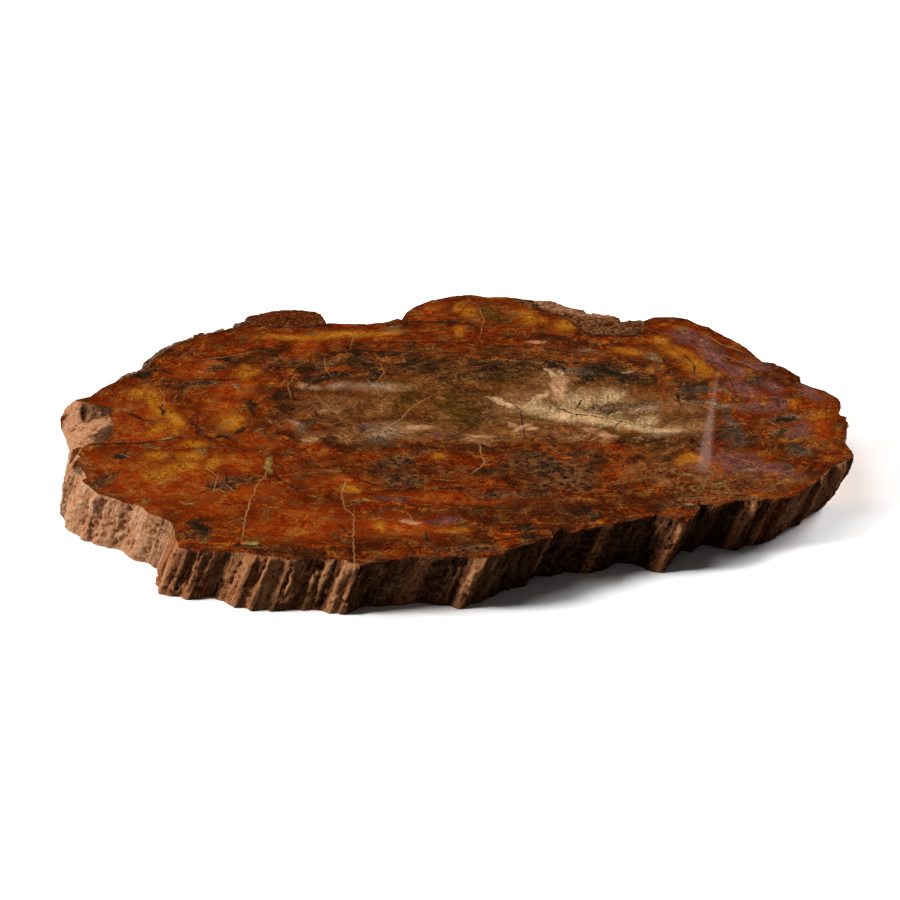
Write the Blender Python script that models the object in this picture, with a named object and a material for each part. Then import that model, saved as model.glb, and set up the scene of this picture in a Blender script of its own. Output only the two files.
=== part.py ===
"""A slice of a petrified log, as one stone slab lying on its sawn underside.

The log was sawn at a slant to its grain, so every flute and ridge of its side runs down and to the left. The top is a
flat polished face, and the rough stone outside its edge drops away in a few ledges. Sizes in this file are millimetres
until the mesh is made. Places are measured from a datum on the polished face, near the middle of its front half, with X
to the right and Y to the back; the finished slab is then moved so that the bottom centre of its box is the origin.
"""

import math

import bmesh
import bpy
from mathutils import Vector, geometry, noise

MM = 0.001

# Driving dimensions.
THICKNESS = 50.0
GRAIN_SLANT = Vector((-0.37, 0.18))  # sideways run of the log's grain for each mm down
COLUMN_SPACING = 6.6  # at most, along the rim
POLISH_INSET = 1.4  # from the rim in to the polished face, where no ledge parts them
CHIPPED_EDGE = 1.1  # how far the broken rim lies below the polished face
LEDGE_ROWS = (0.14, 0.55, 1.0)  # rows of a ledge, as shares of its width from the polish out
PLAIN_STEP = 0.5  # "step" below, for a stretch that has no ledge
LEDGE_CURVE = 1.5  # over 1, a ledge is level at first and falls away towards its rim
LEDGE_LUMP = 1.3  # height of the lumps on a ledge
LEDGE_LUMP_WIDTH = 13.0
WALL_LEVELS = (0.13, 0.3, 0.48, 0.66, 0.84, 1.0)  # rows of the side, from the rim down

# The side's relief: wide bulges that change on the way down, and flutes along the grain.
BULGE = 3.2
BULGE_WIDTH = 24.0
BULGE_HEIGHT = 46.0
FLUTE = 2.8
FLUTE_WIDTH = 11.0
FLUTE_LENGTH = 90.0
FLUTE_SEED = 5.0  # any number: it moves the flutes to another part of the noise
RIM_ZONE = 6.0  # depth over which the relief grows from nothing at the rim
NORMAL_REACH = 2  # columns on each side that the side's outward direction is taken over

# The rim of the stone, counterclockwise from the knob at the left end. Each stretch ends where the next begins. A rim
# point is x, y and its depth below the polished face. "polish" is the edge of the polished face beside that stretch,
# and "step" is the share of the ledge's drop that is a steep step beside the polish.
KNOB = {
    "rim": [
        (-343, 106, 1), (-352, 105, 8), (-356, 96, 15), (-354, 86, 20), (-348, 72, 23), (-343, 56, 20),
        (-337, 37, 15), (-331, 18, 9), (-326, 0, 4), (-322, -12, 2),
    ],
    "polish": [
        (-341, 103), (-322, 93), (-306, 89), (-304, 80), (-306, 70), (-299, 55), (-298, 39), (-299, 18),
        (-313, 13), (-320, 4), (-320, -8),
    ],
    "step": 0.2,
}
DULL_CORNER = {
    "rim": [(-322, -12, 2), (-327, -24, 3), (-326, -35, 3), (-317, -45, 2), (-309, -57, 1)],
    "polish": [(-320, -8), (-304, -30), (-297, -44), (-306, -55)],
    "step": 0.5,
}
FRONT_LEFT = {
    "rim": [
        (-309, -57, 1), (-299, -72, 1), (-292, -83, 1), (-281, -88, 1), (-271, -95, 1), (-259, -100, 1),
        (-251, -108, 1), (-246, -116, 1), (-236, -123, 1), (-226, -131, 1), (-221, -143, 1), (-219, -156, 1),
        (-214, -172, 1), (-208, -175, 1), (-185, -180, 1), (-172, -181, 1), (-160, -183, 1), (-145, -188, 1),
        (-134, -190, 1), (-124, -193, 1), (-107, -193, 1), (-91, -193, 1), (-81, -195, 1), (-74, -199, 1),
        (-69, -203, 1),
    ],
}
FRONT = {
    "rim": [
        (-69, -203, 1), (-62, -201, 1), (-51, -195, 1), (-38, -193, 1), (-31, -190, 1), (-18, -190, 1),
        (0, -189, 1), (10, -188, 1), (20, -190, 1), (30, -190, 1), (41, -184, 1), (47, -175, 1),
        (56, -170, 1), (66, -165, 1), (74, -160, 1), (81, -159, 1), (83, -150, 1), (89, -143, 1),
        (100, -145, 1), (112, -141, 1), (124, -138, 1), (132, -136, 1), (145, -128, 1), (157, -123, 1),
        (168, -119, 1), (173, -122, 1), (183, -130, 1),
    ],
}
FRONT_RIGHT = {
    "rim": [
        (183, -130, 1), (190, -128, 1), (197, -123, 1), (200, -116, 1), (205, -105, 1), (207, -97, 1),
        (216, -100, 1), (219, -105, 1), (226, -100, 1), (238, -94, 1), (254, -93, 1), (266, -91, 1),
        (281, -90, 1), (289, -83, 1), (297, -72, 1), (307, -60, 1), (317, -45, 1), (327, -30, 1),
        (336, -23, 1), (347, -12, 1), (348, -2, 1),
    ],
}
RIGHT = {
    "rim": [
        (348, -2, 1), (346, 8, 1), (345, 16, 1), (350, 34, 1), (352, 46, 1), (355, 57, 1), (352, 65, 1),
        (356, 68, 1), (351, 71, 1), (350, 78, 1), (354, 87, 1), (356, 100, 1), (355, 109, 1), (351, 116, 1),
        (345, 127, 1), (335, 134, 1), (327, 144, 1), (328, 158, 1), (322, 168, 1), (317, 178, 1),
        (309, 190, 1), (300, 192, 1), (294, 203, 1), (288, 224, 1), (280, 241, 1), (270, 256, 1),
        (261, 269, 1), (257, 279, 1), (250, 283, 1), (243, 291, 1), (238, 300, 1), (231, 304, 1),
        (213, 306, 1), (204, 305, 1), (200, 301, 1), (195, 296, 1),
    ],
}
BACK_LEDGE = {
    "rim": [
        (195, 296, 1), (190, 305, 3), (179, 307, 5), (172, 306, 6), (171, 319, 7), (167, 325, 7), (158, 328, 7),
        (148, 332, 7), (140, 332, 7), (135, 341, 7), (121, 349, 7), (112, 359, 7), (104, 365, 6), (89, 360, 4),
        (75, 354, 1),
    ],
    "polish": [
        (193, 293), (193, 270), (180, 258), (158, 258), (138, 261), (127, 280), (119, 301), (109, 313),
        (92, 324), (86, 341), (85, 350), (74, 352),
    ],
    "step": 0.75,
}
BACK_LOBE = {
    "rim": [
        (75, 354, 1), (57, 360, 1), (38, 360, 1), (22, 366, 1), (10, 364, 1), (-2, 360, 1), (-19, 351, 1),
        (-35, 334, 1), (-44, 318, 1), (-48, 297, 1),
    ],
}
BACK_NOTCH = {
    "rim": [
        (-48, 297, 1), (-53, 301, 1), (-58, 297, 1), (-66, 292, 1), (-74, 289, 1), (-83, 287, 1), (-99, 287, 1),
        (-107, 288, 1), (-117, 289, 1), (-123, 289, 1),
    ],
}
BACK_LEFT_LOBE = {
    "rim": [
        (-123, 289, 1), (-124, 296, 2), (-127, 307, 2), (-131, 318, 2), (-137, 325, 2), (-150, 328, 2),
        (-167, 329, 2), (-178, 327, 2), (-185, 322, 2), (-195, 316, 2), (-204, 311, 2), (-206, 298, 2),
    ],
    "polish": [(-123, 286), (-140, 280), (-160, 281), (-180, 281), (-198, 284), (-203, 290)],
    "step": 0.6,
}
BACK_LEFT_CRUST = {
    "rim": [
        (-206, 298, 2), (-215, 293, 2), (-215, 285, 2), (-223, 278, 2), (-230, 279, 2), (-234, 273, 2),
        (-242, 268, 2), (-252, 266, 2), (-253, 259, 2), (-260, 252, 2), (-270, 246, 2), (-271, 239, 2),
        (-277, 235, 2), (-280, 229, 2), (-285, 216, 2), (-291, 201, 2), (-292, 181, 2), (-300, 170, 2),
        (-306, 170, 2), (-310, 163, 2), (-312, 151, 2), (-316, 142, 1),
    ],
    "polish": [
        (-203, 290), (-209, 279), (-226, 268), (-246, 256), (-262, 238), (-271, 226), (-278, 212), (-284, 196),
        (-286, 178), (-297, 163), (-306, 152), (-314, 141),
    ],
    "step": 0.4,
}
LEFT_END = {
    "rim": [(-316, 142, 1), (-322, 132, 1), (-327, 120, 1), (-330, 113, 1), (-337, 109, 1), (-343, 106, 1)],
}
STRETCHES = (
    KNOB, DULL_CORNER, FRONT_LEFT, FRONT, FRONT_RIGHT, RIGHT, BACK_LEDGE, BACK_LOBE, BACK_NOTCH, BACK_LEFT_LOBE,
    BACK_LEFT_CRUST, LEFT_END,
)

# Grooves down the side, each where it leaves the rim: x, y, half width and depth. A negative depth is a rib.
GROOVES = (
    (-196, -178, 6, 4), (-178, -181, 6, 5), (-152, -186, 5, -3), (-131, -191, 6, 3), (-104, -193, 8, 4),
    (-50, -196, 12, 5), (-5, -190, 10, 4), (66, -165, 9, 4), (112, -141, 12, 5), (233, -97, 8, 4),
    (258, -93, 6, -3), (285, -88, 7, 3), (312, -52, 7, -3), (-262, -100, 6, 3), (-286, -86, 6, 3),
)

# Places where the side leaves the line of the grain: x and y at the rim, reach, the sideways move in x and y at the
# floor, and growth, the power of the depth that the move follows. The first two are the hollow under the knob.
SIDE_FORMS = (
    (-352, 88, 42, 34, -6, 0.8), (-327, 6, 20, 12, 3, 0.7), (-326, -33, 12, 4, 1, 1.5),
    (-236, -123, 12, 3, 3, 1.0), (-118, -193, 42, 0, -7, 1.0), (336, -26, 26, 7.5, -6.6, 0.45),
    (340, -15, 30, -5.2, 4.6, 3.0),
)

SAME_POINT = 1e-7  # metres: nearer than this, two points of a cap are one

STONE_COLOUR = (0.27, 0.085, 0.03, 1.0)
STONE_ROUGHNESS = 0.5


def point_at(points, fraction):
    """The point at this fraction of the length of an open line of points."""
    lengths = [(b - a).length for a, b in zip(points, points[1:])]
    left = fraction * sum(lengths)
    for start, end, length in zip(points, points[1:], lengths):
        if left <= length:
            return start.lerp(end, left / length)
        left -= length
    return points[-1]


def rim_columns():
    """The columns round the side: each is its edge of polish, or None to work out later, its rim and its step."""
    columns = []
    for stretch in STRETCHES:
        rim = [Vector(point) for point in stretch["rim"]]
        polish = [Vector((x, y, 0)) for x, y in stretch.get("polish", ())]
        whole = sum((b.xy - a.xy).length for a, b in zip(rim, rim[1:]))
        passed = 0.0
        for start, end in zip(rim, rim[1:]):
            length = (end.xy - start.xy).length
            count = math.ceil(length / COLUMN_SPACING)
            for step in range(count):
                share = (passed + length * step / count) / whole
                edge = point_at(polish, share) if polish else None
                columns.append((edge, start.lerp(end, step / count), stretch.get("step", PLAIN_STEP)))
            passed += length
    return columns


def outward_normals(points):
    """Level unit vectors that point out of a closed counterclockwise loop."""
    normals = []
    for i in range(len(points)):
        along = points[(i + NORMAL_REACH) % len(points)].xy - points[i - NORMAL_REACH].xy
        normals.append(Vector((along.y, -along.x)).normalized())
    return normals


def grown(depth):
    """0 at the rim, 1 below the rim zone."""
    return min(1.0, depth / RIM_ZONE)


def relief(place, depth):
    """How far the side stands out at this depth, where place is the point of the rim that the grain leads up to."""
    wide = Vector((place.x / BULGE_WIDTH, place.y / BULGE_WIDTH, 0))
    narrow = Vector((place.x / FLUTE_WIDTH, place.y / FLUTE_WIDTH, FLUTE_SEED))
    out = BULGE * (noise.noise(wide + Vector((0, 0, depth / BULGE_HEIGHT))) - noise.noise(wide))
    out += FLUTE * grown(depth) * noise.noise(narrow + Vector((0, 0, depth / FLUTE_LENGTH)))
    for x, y, half_width, deep in GROOVES:
        away = (place.xy - Vector((x, y))).length / half_width
        out -= deep * grown(depth) * math.exp(-away * away)
    return out


def side_move(place, depth):
    """How far the side has left the line of the grain at this depth, under this point of the rim."""
    move = GRAIN_SLANT * depth
    for x, y, reach, across, back, growth in SIDE_FORMS:
        away = (place.xy - Vector((x, y))).length / reach
        move += Vector((across, back)) * ((depth / THICKNESS) ** growth * math.exp(-away * away))
    return move


def ledge_point(edge, rim, share, step):
    """A point of the ledge between the polish and the rim: a steep step first, then a lumpy slope."""
    place = edge.xy.lerp(rim.xy, share)
    slope = (share - LEDGE_ROWS[0]) / (1 - LEDGE_ROWS[0])
    depth = rim.z * (step + (1 - step) * slope**LEDGE_CURVE)
    width = (rim.xy - edge.xy).length
    lump = LEDGE_LUMP * noise.noise(Vector((place.x, place.y, 0)) / LEDGE_LUMP_WIDTH)
    depth += lump * min(1.0, width / LEDGE_LUMP_WIDTH) * 4 * slope * (1 - slope)
    return Vector((place.x, place.y, THICKNESS - depth))


def column_points(edge, rim, step, normal):
    """One column of the side from the edge of the polish, over the ledge and down to the floor."""
    if edge is None:
        edge = Vector((rim.x - POLISH_INSET * normal.x, rim.y - POLISH_INSET * normal.y, 0))
    drop = max(rim.z, CHIPPED_EDGE)
    rim = Vector((rim.x, rim.y, drop))
    points = [Vector((edge.x, edge.y, THICKNESS))]
    points += [ledge_point(edge, rim, share, step) for share in LEDGE_ROWS]
    for level in WALL_LEVELS:
        depth = level * (THICKNESS - drop)
        side = rim.xy + side_move(rim, depth) + normal * relief(rim, depth)
        points.append(Vector((side.x, side.y, THICKNESS - drop - depth)))
    return points


def fill(mesh, loop):
    """Fills a flat closed loop of vertices with triangles, facing as the loop turns."""
    flat = [vert.co.xy for vert in loop]
    turned = sum(a.x * b.y - b.x * a.y for a, b in zip(flat, flat[1:] + flat[:1])) < 0
    outline = list(range(len(flat)))
    inside = 1
    triangles = geometry.delaunay_2d_cdt(flat, [], [outline[::-1] if turned else outline], inside, SAME_POINT)[2]
    for triangle in triangles:
        corners = [loop[index] for index in triangle]
        mesh.faces.new(corners[::-1] if turned else corners)


def slab_mesh():
    """The closed stone: rows of points round the side, a polished cap above and a sawn cap below."""
    columns = rim_columns()
    normals = outward_normals([rim for _, rim, _ in columns])
    mesh = bmesh.new()
    grid = [
        [mesh.verts.new(point * MM) for point in column_points(*column, normal)]
        for column, normal in zip(columns, normals)
    ]
    for left, right in zip(grid, grid[1:] + grid[:1]):
        for row in range(len(left) - 1):
            mesh.faces.new((left[row], left[row + 1], right[row + 1], right[row]))
    fill(mesh, [column[0] for column in grid])
    fill(mesh, [column[-1] for column in reversed(grid)])
    centre_on_floor(mesh)
    return mesh


def centre_on_floor(mesh):
    """Moves the mesh so that the bottom centre of its box is the origin."""
    xs = [vert.co.x for vert in mesh.verts]
    ys = [vert.co.y for vert in mesh.verts]
    middle = Vector(((min(xs) + max(xs)) / 2, (min(ys) + max(ys)) / 2, 0))
    bmesh.ops.translate(mesh, verts=mesh.verts, vec=-middle)


def stone_material():
    material = bpy.data.materials.new("petrified_wood")
    material.use_nodes = True
    shader = material.node_tree.nodes["Principled BSDF"]
    shader.inputs["Base Color"].default_value = STONE_COLOUR
    shader.inputs["Roughness"].default_value = STONE_ROUGHNESS
    shader.inputs["Metallic"].default_value = 0.0
    return material


def build():
    for old in list(bpy.data.objects):
        bpy.data.objects.remove(old)
    mesh = bpy.data.meshes.new("petrified_slab")
    shape = slab_mesh()
    shape.to_mesh(mesh)
    shape.free()
    mesh.materials.append(stone_material())
    slab = bpy.data.objects.new("petrified_slab", mesh)
    bpy.context.scene.collection.objects.link(slab)


if __name__ == "__main__":
    build()
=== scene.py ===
"""Dresses the petrified wood slab: fluted side, polished jasper face, sawn underside, and a plain studio.

The log was sawn at a slant to its grain. Everything in the stone follows the grain, so both the relief and
the colours are worked out at the "log place" of a point: the point of the polished face that its grain leads
up to, and its depth. Log places are in millimetres from a datum near the middle of the face's front half, X
to the right and Y to the back.
"""

import math

import bpy
from bpy.props import FloatProperty, FloatVectorProperty, PointerProperty
from mathutils import Matrix, Vector, geometry, kdtree, noise


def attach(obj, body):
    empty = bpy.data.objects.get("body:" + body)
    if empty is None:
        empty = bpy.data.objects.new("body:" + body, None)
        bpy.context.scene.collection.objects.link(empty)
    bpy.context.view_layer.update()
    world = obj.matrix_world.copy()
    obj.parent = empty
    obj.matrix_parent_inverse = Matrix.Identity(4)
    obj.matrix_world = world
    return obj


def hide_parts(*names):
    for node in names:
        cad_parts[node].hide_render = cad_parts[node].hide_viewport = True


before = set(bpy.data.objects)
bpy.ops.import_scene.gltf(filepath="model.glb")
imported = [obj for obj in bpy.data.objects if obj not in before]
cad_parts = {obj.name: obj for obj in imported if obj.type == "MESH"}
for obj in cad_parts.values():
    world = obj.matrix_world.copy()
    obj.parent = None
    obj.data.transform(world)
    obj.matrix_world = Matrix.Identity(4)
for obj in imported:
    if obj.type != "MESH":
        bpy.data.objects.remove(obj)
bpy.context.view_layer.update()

bl_info = {
    "name": "Petrified Wood Slab",
    "version": (1, 0, 0),
    "blender": (4, 5, 0),
    "location": "3D View > Sidebar > Slab",
    "description": "Builds a slice of a petrified log with a polished face, and a studio to show it in",
    "category": "Object",
}

MM = 0.001
NODE = "petrified_slab"

# The slab's form, as in its CAD source.
THICKNESS = 50.0
DATUM_Y = 86.03  # the datum lies this far in front of the middle of the slab's box
GRAIN_SLANT = Vector((-0.37, 0.18))  # sideways run of the log's grain for each mm down
LEDGE_CURVE = 1.5  # over 1, a ledge is level at first and falls away towards its rim
BULGE, BULGE_WIDTH, BULGE_HEIGHT = 3.2, 24.0, 46.0
FLUTE, FLUTE_WIDTH, FLUTE_LENGTH, FLUTE_SEED = 2.8, 11.0, 90.0, 5.0
RIM_ZONE = 6.0  # depth over which the relief grows from nothing at the rim

# What the visible stone adds to it.
COLUMN_SPACING = 1.4  # at most, along the rim
NORMAL_REACH = 10  # columns on each side that the side's outward direction is taken over
WALL_ROWS = 38
PLAIN_INSET = 0.45  # from the rim in to the polish, where no ledge parts them and nothing is chipped
PLAIN_DROP = 0.5
EDGE_RAGGEDNESS, EDGE_RAGGED_WIDTH = 1.4, 4.0  # of the polish's edge beside a ledge
FACE_GRID = 8.0  # spacing of the points inside the polished face
GRID_GAP = 0.7 * FACE_GRID  # from those points to the polish's edge, at least
GRID_ROW = 0.866 * FACE_GRID  # between the rows of a triangular grid
GRID_LOW, GRID_SIZE = (-365.0, -215.0), (730.0, 620.0)
RIM_BAND = 10.0  # width of the band inside the polish's edge that the painted rim shade covers

# The ledges between the polish and the rim: a steep step, then a slope with swells, pebbles, grit and pits.
LEDGE_SPACING = 1.6  # between the points across a ledge
LEDGE_ROWS_MOST = 30
STEP_WIDTH = 1.0  # of the steep step beside the polish
SWELL, SWELL_WIDTH = 5.0, 13.0
PEBBLE_SIZE = 6.0
PEBBLE_SEED = 1  # of the shake of the pebbles' outlines
PEBBLED = 0.8  # a ledge whose pebbles are higher than this also gets painted shade between them
GRIT = 0.45
GRIT_NOISES = ((1.0, 3.1), (0.7, 1.7))  # share and width of each noise

# Noises of the side's fine relief: width across the grain and length along it, in mm, and a seed.
WIDE_RIBS, NARROW_RIBS = (7.5, 85.0, 3.0), (3.4, 40.0, 31.0)
WIDE_SPLINTERS, NARROW_SPLINTERS = (7.5, 26.0, 11.0), (3.4, 9.0, 23.0)
FIBRES = (2.4, 16.0, 9.0)
CRUMBS, SMALL_CRUMBS = (4.6, 5.2, 4.0), (2.4, 2.8, 6.0)
PITS, PITTED_PARTS = (2.7, 3.6, 17.0), (11.0, 15.0, 2.0)
RIB_MEAN = 0.75  # of the ribs' noise, taken off so that they neither grow nor shrink the stone
FOOT = 12.0  # height above the floor over which the fine relief fades

# Noises that chip the polish's edge: height, width, seed, and what is added, so that more or less of it is
# chipped.
CHIP_NOISES = ((1.8, 4.5, 40.0, 0.05), (2.4, 12.0, 90.0, -0.12))
CHIP_MOST = 4.0

# The rim of the stone, counterclockwise from the knob at the left end. Each stretch ends where the next
# begins. A rim point is x, y and its depth below the polished face, or x and y where that is RIM_DEPTH.
# "polish" is the edge of the polished face beside that stretch, "step" is the share of the ledge's drop
# that is a steep step beside the polish, and "pebbles" and "pebble_size" are the height and width of the
# small stones that the ledge is crusted with.
RIM_DEPTH = 1
KNOB = {
    "rim": [
        (-343, 106), (-352, 105, 8), (-356, 96, 15), (-354, 86, 20), (-348, 72, 23), (-343, 56, 20),
        (-337, 37, 15), (-331, 18, 9), (-326, 0, 4), (-322, -12, 2),
    ],
    "polish": [
        (-341, 103), (-322, 93), (-306, 89), (-304, 80), (-306, 70), (-299, 55), (-298, 39), (-299, 18),
        (-313, 13), (-320, 4), (-320, -8),
    ],
    "step": 0.2,
    "pebbles": 0.5,
}
DULL_CORNER = {
    "rim": [(-322, -12, 2), (-327, -24, 3), (-326, -35, 3), (-317, -45, 2), (-309, -57)],
    "polish": [(-320, -8), (-317, -28), (-310, -43), (-306, -55)],
    "step": 0.5,
    "pebbles": 0.3,
}
FRONT_LEFT = {
    "rim": [
        (-309, -57), (-299, -72), (-292, -83), (-281, -88), (-271, -95), (-259, -100), (-251, -108),
        (-246, -116), (-236, -123), (-226, -131), (-221, -143), (-219, -156), (-214, -172), (-208, -175),
        (-185, -180), (-172, -181), (-160, -183), (-145, -188), (-134, -190), (-124, -193), (-107, -193),
        (-91, -193), (-81, -195), (-74, -199), (-69, -203),
    ],
}
FRONT = {
    "rim": [
        (-69, -203), (-62, -201), (-51, -195), (-38, -193), (-31, -190), (-18, -190), (0, -189), (10, -188),
        (20, -190), (30, -190), (41, -184), (47, -175), (56, -170), (66, -165), (74, -160), (81, -159),
        (83, -150), (89, -143), (100, -145), (112, -141), (124, -138), (132, -136), (145, -128), (157, -123),
        (168, -119), (173, -122), (183, -130),
    ],
}
FRONT_RIGHT = {
    "rim": [
        (183, -130), (190, -128), (197, -123), (200, -116), (205, -105), (207, -97), (216, -100),
        (219, -105), (226, -100), (238, -94), (254, -93), (266, -91), (281, -90), (289, -83), (297, -72),
        (307, -60), (317, -45), (327, -30), (336, -23), (347, -12), (348, -2),
    ],
}
RIGHT = {
    "rim": [
        (348, -2), (346, 8), (345, 16), (350, 34), (352, 46), (355, 57), (352, 65), (356, 68), (351, 71),
        (350, 78), (354, 87), (356, 100), (355, 109), (351, 116), (345, 127), (335, 134), (327, 144),
        (328, 158), (322, 168), (317, 178), (309, 190), (300, 192), (294, 203), (288, 224), (280, 241),
        (270, 256), (261, 269), (257, 279), (250, 283), (243, 291), (238, 300), (231, 304), (213, 306),
        (204, 305), (200, 301), (195, 296),
    ],
}
BACK_LEDGE = {
    "rim": [
        (195, 296), (190, 305, 3), (179, 307, 5), (172, 306, 6), (171, 319, 7), (167, 325, 7), (158, 328, 7),
        (148, 332, 7), (140, 332, 7), (135, 341, 7), (121, 349, 7), (112, 359, 7), (104, 365, 6),
        (89, 360, 4), (75, 354),
    ],
    "polish": [
        (193, 293), (193, 270), (180, 258), (158, 258), (138, 261), (127, 280), (119, 301), (109, 313),
        (92, 324), (86, 341), (85, 350), (74, 352),
    ],
    "step": 0.75,
    "pebbles": 1.2,
}
BACK_LOBE = {
    "rim": [
        (75, 354), (57, 360), (38, 360), (22, 366), (10, 364), (-2, 360), (-19, 351), (-35, 334), (-44, 318),
        (-48, 297),
    ],
}
BACK_NOTCH = {
    "rim": [
        (-48, 297), (-53, 301), (-58, 297), (-66, 292), (-74, 289), (-83, 287), (-99, 287), (-107, 288),
        (-117, 289), (-123, 289),
    ],
}
BACK_LEFT_LOBE = {
    "rim": [
        (-123, 289), (-124, 296, 2), (-127, 307, 2), (-131, 318, 2), (-137, 325, 2), (-150, 328, 2),
        (-167, 329, 2), (-178, 327, 2), (-185, 322, 2), (-195, 316, 2), (-204, 311, 2), (-206, 298, 2),
    ],
    "polish": [(-123, 286), (-140, 280), (-160, 281), (-180, 281), (-198, 284), (-203, 290)],
    "step": 0.6,
    "pebbles": 0.9,
}
BACK_LEFT_CRUST = {
    "rim": [
        (-206, 298, 2), (-215, 293, 2), (-215, 285, 2), (-223, 278, 2), (-230, 279, 2), (-234, 273, 2),
        (-242, 268, 2), (-252, 266, 2), (-253, 259, 2), (-260, 252, 2), (-270, 246, 2), (-271, 239, 2),
        (-277, 235, 2), (-280, 229, 2), (-285, 216, 2), (-291, 201, 2), (-292, 181, 2), (-300, 170, 2),
        (-306, 170, 2), (-310, 163, 2), (-312, 151, 2), (-316, 142),
    ],
    "polish": [
        (-203, 290), (-209, 279), (-226, 268), (-246, 256), (-262, 238), (-271, 226), (-278, 212),
        (-284, 196), (-286, 178), (-297, 163), (-306, 152), (-314, 141),
    ],
    "step": 0.4,
    "pebbles": 2.6,
    "pebble_size": 8.0,
}
LEFT_END = {
    "rim": [(-316, 142), (-322, 132), (-327, 120), (-330, 113), (-337, 109), (-343, 106)],
}
STRETCHES = (
    KNOB, DULL_CORNER, FRONT_LEFT, FRONT, FRONT_RIGHT, RIGHT, BACK_LEDGE, BACK_LOBE, BACK_NOTCH,
    BACK_LEFT_LOBE, BACK_LEFT_CRUST, LEFT_END,
)

# Grooves down the side, each where it leaves the rim: x, y, half width and depth. A negative depth is a rib.
GROOVES = (
    (-196, -178, 6, 4), (-178, -181, 6, 5), (-152, -186, 5, -3), (-131, -191, 6, 3), (-104, -193, 8, 4),
    (-50, -196, 12, 5), (-5, -190, 10, 4), (66, -165, 9, 4), (112, -141, 12, 5), (233, -97, 8, 4),
    (258, -93, 6, -3), (285, -88, 7, 3), (312, -52, 7, -3), (-262, -100, 6, 3), (-286, -86, 6, 3),
)

# Places where the side leaves the line of the grain: x and y at the rim, reach, the sideways move in x and
# y at the floor, and growth, the power of the depth that the move follows.
SIDE_FORMS = (
    (-352, 88, 42, 34, -6, 0.8), (-327, 6, 20, 12, 3, 0.7), (-326, -33, 12, 4, 1, 1.5),
    (-236, -123, 12, 3, 3, 1.0), (-118, -193, 42, 0, -7, 1.0), (336, -26, 26, 7.5, -6.6, 0.45),
    (340, -15, 30, -5.2, 4.6, 3.0),
)

# Ridges that stand out of the side where a facet is lit: x and y at the rim, half width and height.
RIDGES = (
    (189, -129, 4.5, 5.0), (24, -190, 4.5, 4.5), (-77, -198, 5, 2.5), (-158, -184, 3.5, 2.0),
    (-139, -189, 3, 1.8), (-215, -168, 4, 1.5), (305, -62, 4, 1.5), (272, -91, 4, 1.6),
    (-195, -178, 4.5, 3.2), (-152, -186, 3, 2.0),
)

# Parts of the side that are pumice-like, with no deep ribs: x and y at the rim, and reach.
CALM_SIDES = (
    (-290, -76, 62), (-318, -36, 36), (-345, 70, 50), (-245, -118, 18), (-8, -190, 26), (110, -141, 56),
)

# Chips broken out of the polish's edge: x, y, reach and depth.
CHIPS = (
    (97, -146, 7, 2.5), (112, -143, 6, 2.0), (52, -173, 7, 2.0), (64, -167, 5, 2.0), (206, -100, 5, 3.0),
    (190, -127, 6, 3.5), (-50, -196, 5, 1.2), (-205, -175, 7, 1.4), (-262, -99, 5, 1.6),
    (150, -126, 12, 1.4), (-186, -180, 6, 1.2), (-12, -190, 8, 1.0), (23, -190, 4, 1.6), (198, -112, 5, 2.0),
    (-77, -199, 4, 1.5),
)

# Pits in the ledges: x, y, half length, half width, turn and depth.
LEDGE_PITS = (
    (-333, 93, 9, 2.4, 100, 5.0), (-341, 78, 3, 2, 0, 2.5), (-318, 60, 4, 2, 60, 2.5),
    (-326, 36, 4, 2.5, 100, 2.5), (-345, 60, 3, 2, 30, 2.0), (-310, 36, 3, 2, 0, 1.5),
    (-314, 82, 5, 2, 20, 1.5), (160, 300, 6, 2.5, 30, 2.5), (120, 325, 8, 2, 120, 2.0),
    (-290, 200, 5, 2, 90, 2.5), (-248, 262, 6, 2, 30, 2.0), (-160, 304, 8, 2, 5, 1.5),
)

# The scene as the photograph frames it.
CAMERA_PLACE = Vector((0.0, -1.6436, 0.8097))
CAMERA_AIM = Vector((0.0, -0.0860, 0.0500))
CAMERA_LENS, CAMERA_SENSOR, CAMERA_FAR = 80.0, 36.0, 60.0
FLOOR_GAP = 0.0002  # between the floor and the underside
FLOOR_SHADE = 0.2  # the floor's colour as the stone sees it
LEVEL_LIGHT = 3.46  # watts that reach each square metre of a level face
POLISH_FILL = 0.15  # share of the even light that the polish mirrors

# The lamps: azimuth from +X towards +Y, elevation and spread in degrees, and the setting that holds their
# share.
LAMPS = {
    "key_light": (190.6, 33.2, 16.2, "key_share"),
    "back_light": (49.6, 10.7, 29.4, "back_share"),
    "high_light": (174.9, 62.2, 31.8, "high_share"),
}

# The pale streak on the polish is the mirror image of a thin light: where its left and right edges show on
# the polished face, in mm from the datum, with its brightness there, and how far the light is from them in
# metres.
STREAK = (
    ((254.5, 178), (255.5, 178), 0.4), ((237.6, 100), (241.4, 100), 0.8), ((217, 0), (226, 0), 1.0),
    ((212, -25), (223, -25), 0.9), ((207.5, -48), (220.5, -48), 0.0),
)
STREAK_REACH = 1.1
STREAK_COLOUR = (1.0, 0.72, 0.64)


# Settings that a user would change.


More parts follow.
